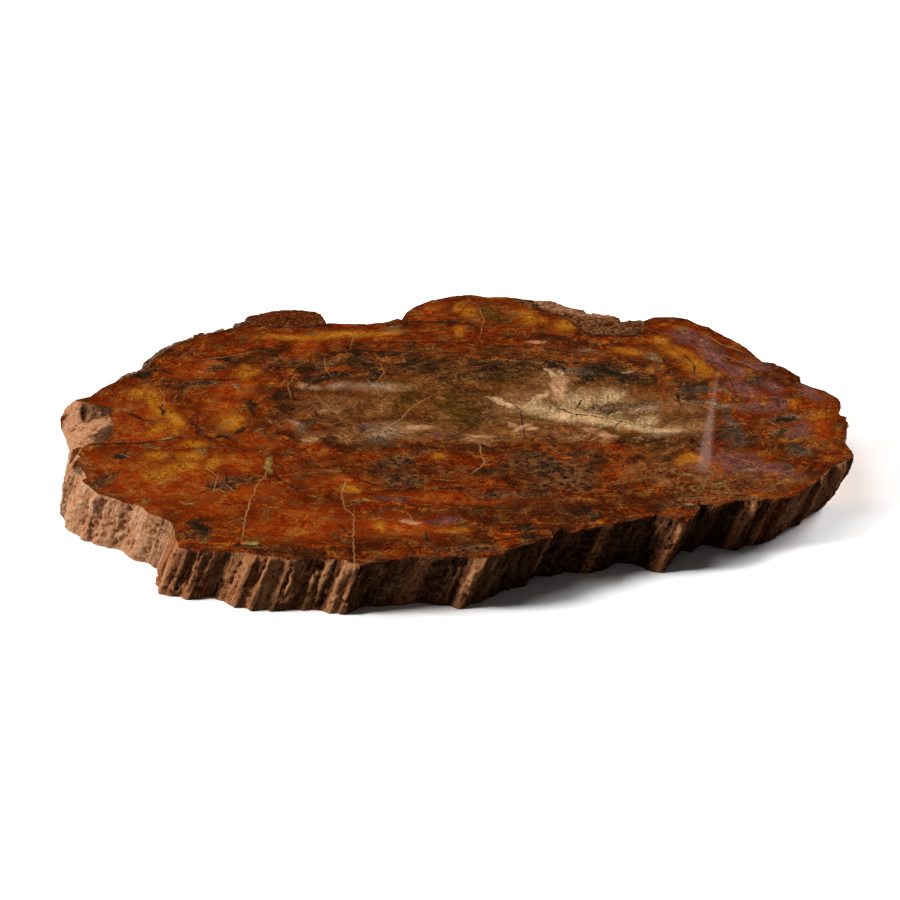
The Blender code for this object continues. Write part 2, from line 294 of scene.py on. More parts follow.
class SlabStone(bpy.types.PropertyGroup):
    crevice_depth: FloatProperty(
        name="Crevice depth", description="Depth of the crevices between the ribs of the rough side",
        default=1.5 * MM, min=0.0, unit="LENGTH",
    )
    fibre_depth: FloatProperty(
        name="Fibre depth", description="Height of the fine fibres that run along the grain",
        default=0.65 * MM, min=0.0, unit="LENGTH",
    )
    splinter_depth: FloatProperty(
        name="Splinter depth", description="Steps between the splinters that the side broke along",
        default=1.1 * MM, min=0.0, unit="LENGTH",
    )
    pit_depth: FloatProperty(
        name="Pit depth", description="Depth of the small pits in the rough side", default=1.1 * MM,
        min=0.0, unit="LENGTH",
    )
    red_jasper: FloatVectorProperty(
        name="Red jasper", description="Main colour of the polished face", subtype="COLOR", size=3,
        min=0.0, max=1.0, default=(0.155, 0.0225, 0.0015),
    )
    ochre: FloatVectorProperty(
        name="Ochre", description="Colour of the yellow patches", subtype="COLOR", size=3,
        min=0.0, max=1.0, default=(0.38, 0.125, 0.007),
    )
    purple: FloatVectorProperty(
        name="Purple", description="Colour of the purple patches", subtype="COLOR", size=3,
        min=0.0, max=1.0, default=(0.155, 0.052, 0.038),
    )
    cream: FloatVectorProperty(
        name="Cream", description="Colour of the palest silica", subtype="COLOR", size=3,
        min=0.0, max=1.0, default=(0.66, 0.41, 0.20),
    )
    bark_pale: FloatVectorProperty(
        name="Pale rind", description="Colour of the dusty parts of the rough side", subtype="COLOR", size=3,
        min=0.0, max=1.0, default=(0.78, 0.33, 0.148),
    )
    bark_dark: FloatVectorProperty(
        name="Dark rind", description="Colour of the dark parts of the rough side", subtype="COLOR", size=3,
        min=0.0, max=1.0, default=(0.034, 0.015, 0.008),
    )


class SlabStage(bpy.types.PropertyGroup):
    floor_colour: FloatVectorProperty(
        name="Floor", description="Colour of the plain floor", subtype="COLOR", size=3,
        min=0.0, max=1.0, default=(0.80, 0.80, 0.80),
    )
    floor_width: FloatProperty(
        name="Floor width", description="Side of the square floor", default=24.0, min=1.0, unit="LENGTH",
    )
    key_share: FloatProperty(
        name="Key light", description="Share of the light that comes from the left", default=0.456,
        min=0.0, max=1.0,
    )
    back_share: FloatProperty(
        name="Back light", description="Share of the light that comes low from the back right",
        default=0.349, min=0.0, max=1.0,
    )
    high_share: FloatProperty(
        name="High light", description="Share of the light that comes from high at the left", default=0.163,
        min=0.0, max=1.0,
    )
    streak: FloatProperty(
        name="Streak", description="Strength of the glow that the polish mirrors as a pale streak",
        default=1.2, min=0.0,
    )
    fill: FloatProperty(
        name="Fill", description="Strength of the even light from all round", default=0.037, min=0.0,
    )


# The rough side: its columns, its relief and its mesh.


def point_at(points, fraction):
    """The point at this fraction of the length of an open line of points."""
    lengths = [(b - a).length for a, b in zip(points, points[1:])]
    left = fraction * sum(lengths)
    for start, end, length in zip(points, points[1:], lengths):
        if left <= length:
            return start.lerp(end, left / length)
        left -= length
    return points[-1]


def rim_columns():
    """The columns round the side, each with its edge of the polish, its point of the rim and its stretch.

    The edge is None where no ledge parts the polish from the rim."""
    columns = []
    for stretch in STRETCHES:
        rim = [Vector((*point, RIM_DEPTH)[:3]) for point in stretch["rim"]]
        polish = [Vector((x, y, 0)) for x, y in stretch.get("polish", ())]
        whole = sum((b.xy - a.xy).length for a, b in zip(rim, rim[1:]))
        passed = 0.0
        for start, end in zip(rim, rim[1:]):
            length = (end.xy - start.xy).length
            count = math.ceil(length / COLUMN_SPACING)
            for step in range(count):
                share = (passed + length * step / count) / whole
                edge = point_at(polish, share) if polish else None
                columns.append((edge, start.lerp(end, step / count), stretch))
            passed += length
    return columns


def outward_normals(points):
    """Level unit vectors that point out of a closed counterclockwise loop."""
    normals = []
    for i in range(len(points)):
        along = points[(i + NORMAL_REACH) % len(points)].xy - points[i - NORMAL_REACH].xy
        normals.append(Vector((along.y, -along.x)).normalized())
    return normals


def grown(depth):
    """0 at the rim, 1 below the rim zone."""
    return min(1.0, depth / RIM_ZONE)


def noise_at(place, depth, width, length, seed):
    """Smooth noise whose shapes are this wide across the grain and this long along it, in mm."""
    return noise.noise(Vector((place.x / width, place.y / width, depth / length + seed)))


def main_relief(place, depth):
    """How far the CAD solid's side stands out at this depth, below this point of the rim."""
    wide = Vector((place.x / BULGE_WIDTH, place.y / BULGE_WIDTH, 0))
    narrow = Vector((place.x / FLUTE_WIDTH, place.y / FLUTE_WIDTH, FLUTE_SEED))
    out = BULGE * (noise.noise(wide + Vector((0, 0, depth / BULGE_HEIGHT))) - noise.noise(wide))
    out += FLUTE * grown(depth) * noise.noise(narrow + Vector((0, 0, depth / FLUTE_LENGTH)))
    for x, y, half_width, deep in GROOVES:
        away = (place.xy - Vector((x, y))).length / half_width
        out -= deep * grown(depth) * math.exp(-away * away)
    return out


def side_move(place, depth):
    """How far the side has left the line of the grain at this depth, under this point of the rim."""
    move = GRAIN_SLANT * depth
    for x, y, reach, across, back, growth in SIDE_FORMS:
        away = (place.xy - Vector((x, y))).length / reach
        move += Vector((across, back)) * ((depth / THICKNESS) ** growth * math.exp(-away * away))
    return move


def splinter(place, depth, width, length, seed):
    """About -1 to 1, the same all over a long cell of the stone, with a step at the cell's edge."""
    nearest = noise.voronoi(Vector((place.x / width, place.y / width, depth / length + seed)))[1][0]
    return 1.6 * noise.noise(nearest * 7.31)


def hump(place, x, y, reach):
    """1 at a place of the rim, falling to 0 away from it."""
    away = (place.xy - Vector((x, y))).length / reach
    return math.exp(-away * away)


def ribs(place, depth, width, length, seed):
    """Rounded ribs along the grain: 1 on them, and 0 in the narrow crevices between them."""
    return min(1.0, 3.4 * abs(noise_at(place, depth, width, length, seed))) ** 0.6


def fine_relief(stone, place, depth):
    """Ribs, splinters, fibres, crumbs and pits, in mm, which the solid leaves out."""
    calm = max(hump(place, *spot) for spot in CALM_SIDES)
    wild = 1 - 0.85 * calm
    crevices = ribs(place, depth, *WIDE_RIBS) - RIB_MEAN
    crevices += 0.6 * (ribs(place, depth, *NARROW_RIBS) - RIB_MEAN)
    out = stone.crevice_depth / MM * wild * crevices
    small = splinter(place, depth, *NARROW_SPLINTERS)
    out += stone.splinter_depth / MM * (wild * splinter(place, depth, *WIDE_SPLINTERS) + 0.6 * small)
    crumbs = noise_at(place, depth, *CRUMBS) + 0.8 * noise_at(place, depth, *SMALL_CRUMBS)
    out += stone.fibre_depth / MM * (wild * noise_at(place, depth, *FIBRES) + (1.1 + 1.3 * calm) * crumbs)
    pit = noise_at(place, depth, *PITS) + 0.4 * noise_at(place, depth, *PITTED_PARTS)
    out -= stone.pit_depth / MM * min(1.0, max(0.0, pit - 0.3 + 0.08 * calm) * 4.0)
    return out * min(1.0, 0.25 + depth / 4.0) * min(1.0, 0.35 + (THICKNESS - depth) / FOOT)


def ridge_relief(place, depth):
    return grown(depth) * sum(height * hump(place, x, y, width) for x, y, width, height in RIDGES)


def chip_at(place):
    """How much of the polish's edge has broken off here, in mm."""
    chip = 0.0
    for height, width, seed, more in CHIP_NOISES:
        chip += height * max(0.0, noise.noise(Vector((place.x, place.y, seed)) / width) + more)
    return min(chip + sum(deep * hump(place, x, y, reach) for x, y, reach, deep in CHIPS), CHIP_MOST)


def ledge_pit(place):
    """How deep the pits of the ledges are here, in mm."""
    deep = 0.0
    for x, y, length, width, turn, depth in LEDGE_PITS:
        along = (place - Vector((x, y))) @ Matrix.Rotation(math.radians(turn), 2)
        deep += depth * math.exp(-((along.x / length) ** 2) - (along.y / width) ** 2)
    return deep


def ledge_point(edge, rim, share, stretch):
    """A ledge's point at this share of the way from the polish to the rim, and its painted cavity shade."""
    place = edge.xy.lerp(rim.xy, share)
    width = (rim.xy - edge.xy).length
    passed = share * width
    slope = max(0.0, passed - STEP_WIDTH) / max(width - STEP_WIDTH, STEP_WIDTH)
    step = stretch.get("step", 0.5)
    room = min(1.0, width / 10.0) * min(1.0, passed / 3.0)
    at = Vector((place.x, place.y, 0))
    depth = rim.z * (step + (1 - step) * slope**LEDGE_CURVE)
    depth += SWELL * room * slope * (1 - slope) * noise.noise(at / SWELL_WIDTH)
    shaken = at + 1.5 * noise.noise_vector(at / 4.0)
    cells = noise.voronoi(shaken / stretch.get("pebble_size", PEBBLE_SIZE))[0]
    pebble = min(1.0, (cells[1] - cells[0]) * 2.0)
    pebbles = stretch.get("pebbles", 0.0)
    rough = sum(part * noise.noise(at / wide) for part, wide in GRIT_NOISES)
    pit = ledge_pit(place)
    depth += room * (pit + pebbles * (0.6 - pebble) - GRIT * rough)
    # Painted shade: darker in the pits, and on pebbled ledges between the pebbles; paler where the grit
    # stands up.
    cavity_shading = 0.6 - 0.25 * pit + 0.3 * rough
    if pebbles >= PEBBLED:
        cavity_shading += 0.55 * (min(1.0, 1.7 * pebble) - 0.8)
    return Vector((place.x, place.y, THICKNESS - max(depth, 0.15 * room))), min(1.0, max(0.0, cavity_shading))


def column_points(stone, edge, rim, stretch, normal):
    """One column, from the polish over the ledge down to the floor: its points and their painted cavity
    shade.
    """
    chip = chip_at(rim)
    out = Vector((normal.x, normal.y, 0))
    if edge is None:
        edge = rim - out * (PLAIN_INSET + chip)
        drop = PLAIN_DROP + 0.8 * chip
    else:
        ragged = noise.noise(Vector((edge.x, edge.y, 7.0)) / EDGE_RAGGED_WIDTH) * EDGE_RAGGEDNESS
        edge = edge - out * min(ragged, 0.8 * (rim.xy - edge.xy).length)
        drop = max(rim.z, PLAIN_DROP + 0.5 * chip)
    rim = Vector((rim.x, rim.y, drop))
    width = (rim.xy - edge.xy).length
    rows = max(2, min(LEDGE_ROWS_MOST, round(width / LEDGE_SPACING)))
    step = min(0.3, STEP_WIDTH / width)
    points, cavity_shadings = [Vector((edge.x, edge.y, THICKNESS))], [0.5]
    for row in range(rows + 1):
        point, cavity_shading = ledge_point(edge, rim, step + (1 - step) * row / rows, stretch)
        points.append(point)
        cavity_shadings.append(cavity_shading)
    for row in range(1, WALL_ROWS + 1):
        depth = row / WALL_ROWS * (THICKNESS - drop)
        fine = fine_relief(stone, rim, depth)
        proud = main_relief(rim, depth) + ridge_relief(rim, depth) + fine
        side = rim.xy + side_move(rim, depth) + normal * proud
        points.append(Vector((side.x, side.y, THICKNESS - drop - depth)))
        # Painted shade: darker where the fine relief sinks into crevices and pits, paler on its crests.
        cavity_shadings.append(min(1.0, max(0.0, 0.62 + fine / 4.0)))
    return points, cavity_shadings


def cap(loop, inner):
    """Triangles that fill a closed counterclockwise loop, using the inner points that lie well inside it.

    Returns the inner points used, the triangles and a tree that finds the nearest point of the loop. In the
    triangles the loop is 0, 1, 2... and the inner points used follow."""
    edge = kdtree.KDTree(len(loop))
    for index, point in enumerate(loop):
        edge.insert((point[0], point[1], 0), index)
    edge.balance()
    kept = [point for point in inner if edge.find((point[0], point[1], 0))[2] > GRID_GAP]
    flat = [Vector(point) for point in loop] + [Vector(point) for point in kept]
    inside = 1
    triangles = geometry.delaunay_2d_cdt(flat, [], [list(range(len(loop)))], inside, 1e-5)[2]
    used = sorted({index for triangle in triangles for index in triangle if index >= len(loop)})
    renamed = {index: len(loop) + order for order, index in enumerate(used)}
    triangles = [[renamed.get(index, index) for index in triangle] for triangle in triangles]
    return [kept[index - len(loop)] for index in used], triangles, edge


def face_grid():
    """Points of a triangular grid over the whole slab, for the inside of the polished face."""
    points = []
    for row in range(math.ceil(GRID_SIZE[1] / GRID_ROW)):
        for column in range(math.ceil(GRID_SIZE[0] / FACE_GRID)):
            across = (column + 0.5 * (row % 2)) * FACE_GRID
            points.append((GRID_LOW[0] + across, GRID_LOW[1] + row * GRID_ROW))
    return points


# The map for the stone's colours: the face, which has the most of it, the underside, turned to fit beside
# it, and the side in strips. Scales are in pixels for each mm, and a corner is a region's lowest one.
# region's lowest one.
MAP_SIDE = 1024.0
FACE_SCALE, FACE_CORNER, FACE_LOW = 1.04, (6.0, 404.0), (-357.0, -205.0)
UNDERSIDE_SCALE, UNDERSIDE_CORNER, UNDERSIDE_LOW = 0.44, (756.0, 700.0), (-375.0, -200.0)
STRIPS, STRIP_SCALE, STRIP_HEIGHT, STRIP_RIM = 3, 1.5, 134.0, 84.0  # the last is the rim's height in one
STRIP_MARGIN = 6.0
STRIP_GAP = 4.0


def region_map(point, low, scale, corner):
    return [(start + scale * (value - least)) / MAP_SIDE for start, value, least in zip(corner, point, low)]


def face_map(point):
    return region_map(point, FACE_LOW, FACE_SCALE, FACE_CORNER)


def underside_map(point):
    return region_map((point[1], point[0]), UNDERSIDE_LOW[::-1], UNDERSIDE_SCALE, UNDERSIDE_CORNER)


def side_maps(columns):
    """Map places of the side's points: each column's strip, its place along it and its points' heights."""
    rims = [column[-1 - WALL_ROWS].xy for column in columns]
    alongs = [0.0]
    for rim, after in zip(rims, rims[1:] + rims[:1]):
        alongs.append(alongs[-1] + (after - rim).length * STRIP_SCALE)
    width = alongs[-1] / STRIPS + 0.01
    scale = (MAP_SIDE - 2 * STRIP_MARGIN) / width
    result = []
    for column, along in zip(columns + columns[:1], alongs):
        strip = int(along / width)
        ledge = [0.0]
        for a, b in zip(column, column[1:-WALL_ROWS]):
            ledge.append(ledge[-1] + (b - a).length * STRIP_SCALE)
        squeeze = min(1.0, (STRIP_HEIGHT - STRIP_RIM - STRIP_GAP) / ledge[-1])
        heights = [STRIP_RIM + squeeze * (ledge[-1] - value) for value in ledge]
        heights += [STRIP_RIM + (1.0 - STRIP_RIM) * row / WALL_ROWS for row in range(1, WALL_ROWS + 1)]
        result.append((strip, (along - strip * width) * scale + STRIP_MARGIN, heights))
    return result


def stitched(count, next_count):
    """Faces between two columns of this many points, their corners as (0 or 1 for the column, point)."""
    ledge, next_ledge = count - 1 - WALL_ROWS, next_count - 1 - WALL_ROWS
    faces = []
    here = there = 0
    while here < ledge or there < next_ledge:
        if there == next_ledge or (here < ledge and (here + 1) * next_ledge <= (there + 1) * ledge):
            faces.append(((0, here), (0, here + 1), (1, there)))
            here += 1
        else:
            faces.append(((0, here), (1, there + 1), (1, there)))
            there += 1
    for row in range(WALL_ROWS):
        here, there = ledge + row, next_ledge + row
        faces.append(((0, here), (0, here + 1), (1, there + 1), (1, there)))
    return faces


FACE, SIDE, UNDERSIDE, BROKEN_EDGE = range(4)  # the stone's materials, in their order on the mesh


def stone_mesh(stone):
    """The closed stone: its points in mm, faces, a material number for each face, its masks of painted shade
    and its map.
    """
    noise.seed_set(PEBBLE_SEED)
    columns = rim_columns()
    normals = outward_normals([rim for _, rim, _ in columns])
    made = [column_points(stone, *column, normal) for column, normal in zip(columns, normals)]
    grid = [points for points, _ in made]
    count = len(grid)
    points = [point for column in grid for point in column]
    cavity_shading = [value for _, values in made for value in values]
    rim_shade_mask = [0.0] * len(points)
    starts = [0]
    for column in grid:
        starts.append(starts[-1] + len(column))
    faces, kinds, maps = [], [], []
    strips = side_maps(grid)
    for index in range(count):
        after = (index + 1) % count
        strip, u, heights = strips[index]
        next_strip, next_u, next_heights = strips[index + 1]
        if next_strip != strip:
            next_u = u + COLUMN_SPACING
        places = ((u, heights, starts[index]), (next_u, next_heights, starts[after]))
        rim = len(heights) - 1 - WALL_ROWS
        plain = columns[index][0] is None or columns[after][0] is None
        for corners in stitched(len(heights), len(next_heights)):
            faces.append([places[column][2] + row for column, row in corners])
            on_ledge = all(row <= rim for column, row in corners if column == 0)
            kinds.append(BROKEN_EDGE if plain and on_ledge else SIDE)
            for column, row in corners:
                at, levels, _ = places[column]
                maps.append((at / MAP_SIDE, (strip * STRIP_HEIGHT + levels[row]) / MAP_SIDE))
    top = [column[0].xy for column in grid]
    inner, triangles, edge = cap(top, face_grid())
    first = len(points)
    points += [Vector((x, y, THICKNESS)) for x, y in inner]
    cavity_shading += [0.5] * len(inner)
    rim_shade_mask += [min(1.0, edge.find((x, y, 0))[2] / RIM_BAND) for x, y in inner]
    for triangle in triangles:
        faces.append([starts[index] if index < count else first + index - count for index in triangle])
        kinds.append(FACE)
        for index in triangle:
            maps.append(face_map(top[index] if index < count else inner[index - count]))
    bottom = [column[-1].xy for column in grid]
    _, triangles, _ = cap(bottom, [])
    for triangle in triangles:
        faces.append([starts[index + 1] - 1 for index in reversed(triangle)])
        kinds.append(UNDERSIDE)
        for index in reversed(triangle):
            maps.append(underside_map(bottom[index]))
    return points, faces, kinds, cavity_shading, rim_shade_mask, maps


# Shader nodes.


FAR = 100.0  # a squared distance, in half sizes, that is outside every patch
RING_CENTRE = (45, 125, 0)  # of the log's growth rings
RING_SQUEEZE = (0.8, 1.0, 0)  # the rings are wider than they are deep


def put(tree, kind, feeds=None, **settings):
    """Adds a node, sets its properties, and feeds its inputs with values or with other nodes' outputs."""
    node = tree.nodes.new(kind)
    for name, value in settings.items():
        setattr(node, name, value)
    for socket, value in (feeds or {}).items():
        if isinstance(value, bpy.types.NodeSocket):
            tree.links.new(value, node.inputs[socket])
        else:
            node.inputs[socket].default_value = value
    return node


def math_node(tree, operation, first, second=0.0, third=0.0):
    return put(tree, "ShaderNodeMath", {0: first, 1: second, 2: third}, operation=operation).outputs[0]


def times(tree, first, second):
    return math_node(tree, "MULTIPLY", first, second)


def weighted(tree, *parts):
    """The sum of values times their shares, from (value, share) pairs."""
    total = times(tree, *parts[0])
    for value, share in parts[1:]:
        total = math_node(tree, "MULTIPLY_ADD", value, share, total)
    return total


def vector_node(tree, operation, first, second=None, scale=None):
    given = {0: first, 1: second, 3: scale}
    feeds = {socket: value for socket, value in given.items() if value is not None}
    node = put(tree, "ShaderNodeVectorMath", feeds, operation=operation)
    return node.outputs["Value" if operation in ("LENGTH", "DOT_PRODUCT") else "Vector"]


def mixed(tree, factor, first, second, blend="MIX"):
    """Colour mixing: the first where the factor is 0, the second where it is 1."""
    node = put(tree, "ShaderNodeMix", {"Factor": factor}, data_type="RGBA", blend_type=blend)
    for socket, value in (("A_Color", first), ("B_Color", second)):
        target = next(i for i in node.inputs if i.identifier == socket)
        if isinstance(value, bpy.types.NodeSocket):
            tree.links.new(value, target)
        else:
            target.default_value = tuple(value)[:3] + (1.0,)
    return next(o for o in node.outputs if o.identifier == "Result_Color")


def ranged(tree, value, low, high, to_low=0.0, to_high=1.0, smooth=False):
    """Brings a value from one range to another, and keeps it there."""
    kind = "SMOOTHSTEP" if smooth else "LINEAR"
    feeds = {"Value": value, "From Min": low, "From Max": high, "To Min": to_low, "To Max": to_high}
    return put(tree, "ShaderNodeMapRange", feeds, interpolation_type=kind).outputs["Result"]


def noise_node(tree, vector, scale, detail, rough, flat=True, swirl=0.0):
    """The value and colour of noise over the plane of the face, or through the depth of the stone too."""
    feeds = {"Vector": vector, "Scale": scale, "Detail": detail, "Roughness": rough, "Distortion": swirl}
    return put(tree, "ShaderNodeTexNoise", feeds, noise_dimensions="2D" if flat else "3D").outputs


def ramp(tree, stone, value, stops):
    """A colour ramp. A stop is a place and a colour, which can be a setting's name and a factor."""
    node = put(tree, "ShaderNodeValToRGB", {"Fac": value})
    band = node.color_ramp
    while len(band.elements) < len(stops):
        band.elements.new(0.5)
    for element, (place, colour) in zip(band.elements, stops):
        if isinstance(colour[0], str):
            colour = Vector(getattr(stone, colour[0])) * colour[1]
        element.position = place
        element.color = (*colour, 1.0)
    return node.outputs["Color"]


def new_group(name, inputs, outputs):
    """An empty shader node group: its tree, its input sockets by name and its output node."""
    tree = bpy.data.node_groups.new(name, "ShaderNodeTree")
    for direction, sockets in (("INPUT", inputs), ("OUTPUT", outputs)):
        for socket, (kind, value) in sockets.items():
            made = tree.interface.new_socket(socket, in_out=direction, socket_type="NodeSocket" + kind)
            if value is not None:
                made.default_value = value
    return tree, put(tree, "NodeGroupInput").outputs, put(tree, "NodeGroupOutput")


def use(tree, group, **feeds):
    """Places a node group, feeds its inputs by name and gives its outputs."""
    return put(tree, "ShaderNodeGroup", feeds, node_tree=group).outputs


def log_place_group():
    """Turns a place in metres into its log place: where its grain meets the face, and its depth."""
    tree, given, out = new_group(
        "log_place",
        {"Position": ("Vector", None)},
        {"Place": ("Vector", None), "Depth": ("Float", None)},
    )
    millimetres = vector_node(tree, "SCALE", given["Position"], scale=1 / MM)
    split = put(tree, "ShaderNodeSeparateXYZ", {0: millimetres})
    depth = math_node(tree, "SUBTRACT", THICKNESS, split.outputs["Z"])
    x = math_node(tree, "MULTIPLY_ADD", depth, -GRAIN_SLANT.x, split.outputs["X"])
    y = math_node(tree, "MULTIPLY_ADD", depth, -GRAIN_SLANT.y, split.outputs["Y"])
    y = math_node(tree, "ADD", y, DATUM_Y)
    place = put(tree, "ShaderNodeCombineXYZ", {"X": x, "Y": y})
    tree.links.new(place.outputs[0], out.inputs["Place"])
    tree.links.new(depth, out.inputs["Depth"])
    return tree


def patch_group():
    """The squared distance from the middle of an oval, in its half sizes, or Others where that is less."""
    tree, given, out = new_group(
        "mineral_patch",
        {
            "Place": ("Vector", None), "Others": ("Float", FAR),
            "Centre": ("Vector", None), "Along": ("Vector", None), "Across": ("Vector", None),
        },
        {"Square": ("Float", None)},
    )
    offset = vector_node(tree, "SUBTRACT", given["Place"], given["Centre"])
    along = vector_node(tree, "DOT_PRODUCT", offset, given["Along"])
    across = vector_node(tree, "DOT_PRODUCT", offset, given["Across"])
    square = math_node(tree, "MULTIPLY_ADD", across, across, math_node(tree, "MULTIPLY", along, along))
    tree.links.new(math_node(tree, "MINIMUM", square, given["Others"]), out.inputs["Square"])
    return tree


def patches(tree, patch, place, ragged, spots, softness):
    """The joined soft-edged mask of ovals: x, y, half length, half width and turn in degrees of each."""
    square = FAR
    for x, y, length, width, turn in spots:
        cos, sin = math.cos(math.radians(turn)), math.sin(math.radians(turn))
        square = use(
            tree, patch, Place=place, Others=square, Centre=(x, y, 0),
            Along=(cos / length, sin / length, 0), Across=(-sin / width, cos / width, 0),
        )["Square"]
    away = math_node(tree, "ADD", math_node(tree, "SQRT", square), ragged)
    return ranged(tree, away, 1 - softness, 1 + softness, 1.0, 0.0, smooth=True)


def strokes(lines):
    """Thin ovals along lines. A line is its half width and its points."""
    spots = []
    for width, points in lines:
        for (x, y), (next_x, next_y) in zip(points, points[1:]):
            along, turn = math.dist((x, y), (next_x, next_y)), math.atan2(next_y - y, next_x - x)
            spots.append(((x + next_x) / 2, (y + next_y) / 2, 0.62 * along, width, math.degrees(turn)))
    return spots


def streak_group():
    """Noise drawn out along the log's growth rings."""
    tree, given, out = new_group(
        "ring_streaks",
        {
            "Place": ("Vector", None), "Across": ("Float", 3.0), "Turns": ("Float", 8.0),
            "Detail": ("Float", 3.0), "Rough": ("Float", 0.6),
        },
        {"Value": ("Float", None)},
    )
    away = vector_node(tree, "SUBTRACT", given["Place"], RING_CENTRE)
    away = vector_node(tree, "MULTIPLY", away, RING_SQUEEZE)
    distance = vector_node(tree, "LENGTH", away)
    turn = vector_node(tree, "SCALE", vector_node(tree, "NORMALIZE", away), scale=given["Turns"])
    split = put(tree, "ShaderNodeSeparateXYZ", {0: turn})
    ring = math_node(tree, "DIVIDE", distance, given["Across"])
    feeds = {"X": split.outputs["X"], "Y": split.outputs["Y"], "Z": ring}
    place = put(tree, "ShaderNodeCombineXYZ", feeds).outputs[0]
    value = noise_node(tree, place, 1.0, given["Detail"], given["Rough"], flat=False)["Fac"]
    tree.links.new(value, out.inputs["Value"])
    return tree


def crack_group():
    """A net of thin cracks: 1 on the cracks, 0 between them."""
    tree, given, out = new_group(
        "crack_net",
        {"Place": ("Vector", None), "Cell": ("Float", 12.0), "Width": ("Float", 0.08)},
        {"Mask": ("Float", None)},
    )
    scaled = vector_node(tree, "SCALE", given["Place"], scale=math_node(tree, "DIVIDE", 1.0, given["Cell"]))
    kind = {"feature": "DISTANCE_TO_EDGE", "voronoi_dimensions": "2D"}
    cells = put(tree, "ShaderNodeTexVoronoi", {"Vector": scaled, "Scale": 1.0}, **kind)
    mask = ranged(tree, cells.outputs["Distance"], 0.0, given["Width"], 1.0, 0.0, smooth=True)
    tree.links.new(mask, out.inputs["Mask"])
    return tree


# The minerals of the stone. "patches" are where they show on the polished face: x, y, half length, half
# width and turn. "ramp" is their colours from dark to pale, "softness" is that of the patches' edges,
# "strength" is how much they cover, and "torn" is how ragged their outlines are, 1 where it isn't given.
BROWN_JASPER = (
    (0.0, (0.022, 0.009, 0.004)), (0.3, (0.065, 0.021, 0.006)), (0.6, (0.13, 0.042, 0.01)),
    (1.0, (0.25, 0.1, 0.024)),
)
CORE = {
    "patches": ((38, 112, 186, 100, 3), (-60, 60, 70, 40, -20), (200, 40, 60, 30, 60)),
    "ramp": (
        (0.0, (0.028, 0.01, 0.002)), (0.35, (0.07, 0.023, 0.004)), (0.65, (0.145, 0.049, 0.011)),
        (1.0, (0.27, 0.112, 0.034)),
    ),
    "softness": 0.3, "strength": 0.9, "torn": 0.6,
}
RUSSETS = {
    "patches": (
        (-50, 204, 24, 8, 0), (10, -44, 30, 12, 0), (-110, -36, 24, 14, 0), (90, 196, 30, 9, -6),
        (-112, 98, 38, 24, 0), (62, 118, 18, 20, 0), (184, 96, 20, 24, 0), (-40, 156, 24, 10, 0),
        (-24, 206, 34, 12, 0), (-34, 92, 34, 22, 0), (300, 20, 34, 40, 60), (110, 215, 60, 14, -8),
        (-150, 70, 26, 14, 80), (20, 40, 40, 14, -10), (-165, 190, 40, 12, 10),
    ),
    "ramp": (
        (0.0, (0.05, 0.013, 0.003)), (0.35, (0.12, 0.03, 0.006)), (0.7, (0.19, 0.055, 0.012)),
        (1.0, (0.28, 0.1, 0.03)),
    ),
    "softness": 0.4, "strength": 0.85,
}
# Paler parts of the core, round the cream patch and left of the middle.
FAWNS = {
    "patches": (
        (70, 74, 44, 20, -25), (140, 88, 60, 34, -15), (170, 52, 44, 16, -15), (66, 108, 22, 24, 0),
        (-46, 36, 44, 18, 10), (214, 98, 14, 26, 0), (-96, 26, 30, 14, 0), (-60, 130, 34, 9, 0),
        (200, 48, 30, 12, 0), (96, 150, 24, 20, 60), (-307, -32, 20, 9, -60), (126, 26, 50, 9, -8),
        (64, 66, 22, 16, 0), (20, 60, 16, 12, 0), (20, 20, 18, 12, 0), (-108, 88, 24, 18, 0),
        (-292, 82, 12, 14, 0), (-228, 140, 18, 9, 30), (-121, 19, 12, 9, 30), (160, 24, 30, 8, -5),
        (-56, 270, 10, 14, 60), (94, -119, 20, 6, 108),
    ),
    "ramp": (
        (0.0, (0.07, 0.026, 0.007)), (0.4, (0.19, 0.076, 0.023)), (0.7, (0.31, 0.135, 0.048)),
        (1.0, (0.48, 0.26, 0.12)),
    ),
    "softness": 0.6, "strength": 0.85, "torn": 0.6,
}
# The darkest, greyest part of the core.
DUSKS = {
    "patches": (
        (-102, 188, 56, 24, 4), (-30, 188, 30, 18, 0), (58, 190, 52, 11, -4), (160, 168, 42, 20, -8),
        (228, 130, 16, 24, 10), (36, 160, 40, 12, 10), (-128, 60, 20, 8, 70), (178, 18, 40, 7, -10),
    ),
    "ramp": (
        (0.0, (0.01, 0.006, 0.002)), (0.4, (0.045, 0.019, 0.006)), (0.7, (0.09, 0.04, 0.012)),
        (1.0, (0.2, 0.105, 0.045)),
    ),
    "softness": 0.4, "strength": 0.85, "torn": 1.4,
}
SANDS = {
    "patches": (
        (200, -96, 30, 14, 0), (250, -94, 30, 7, 0), (188, -42, 44, 30, -8), (228, -66, 44, 20, 10),
        (-60, 95, 30, 22, 20), (40, 30, 44, 12, -8), (270, -62, 30, 12, 25),
    ),
    "ramp": (
        (0.0, (0.05, 0.019, 0.005)), (0.35, (0.14, 0.047, 0.011)), (0.7, (0.25, 0.1, 0.03)),
        (1.0, (0.42, 0.2, 0.08)),
    ),
    "softness": 0.45, "strength": 0.85,
}
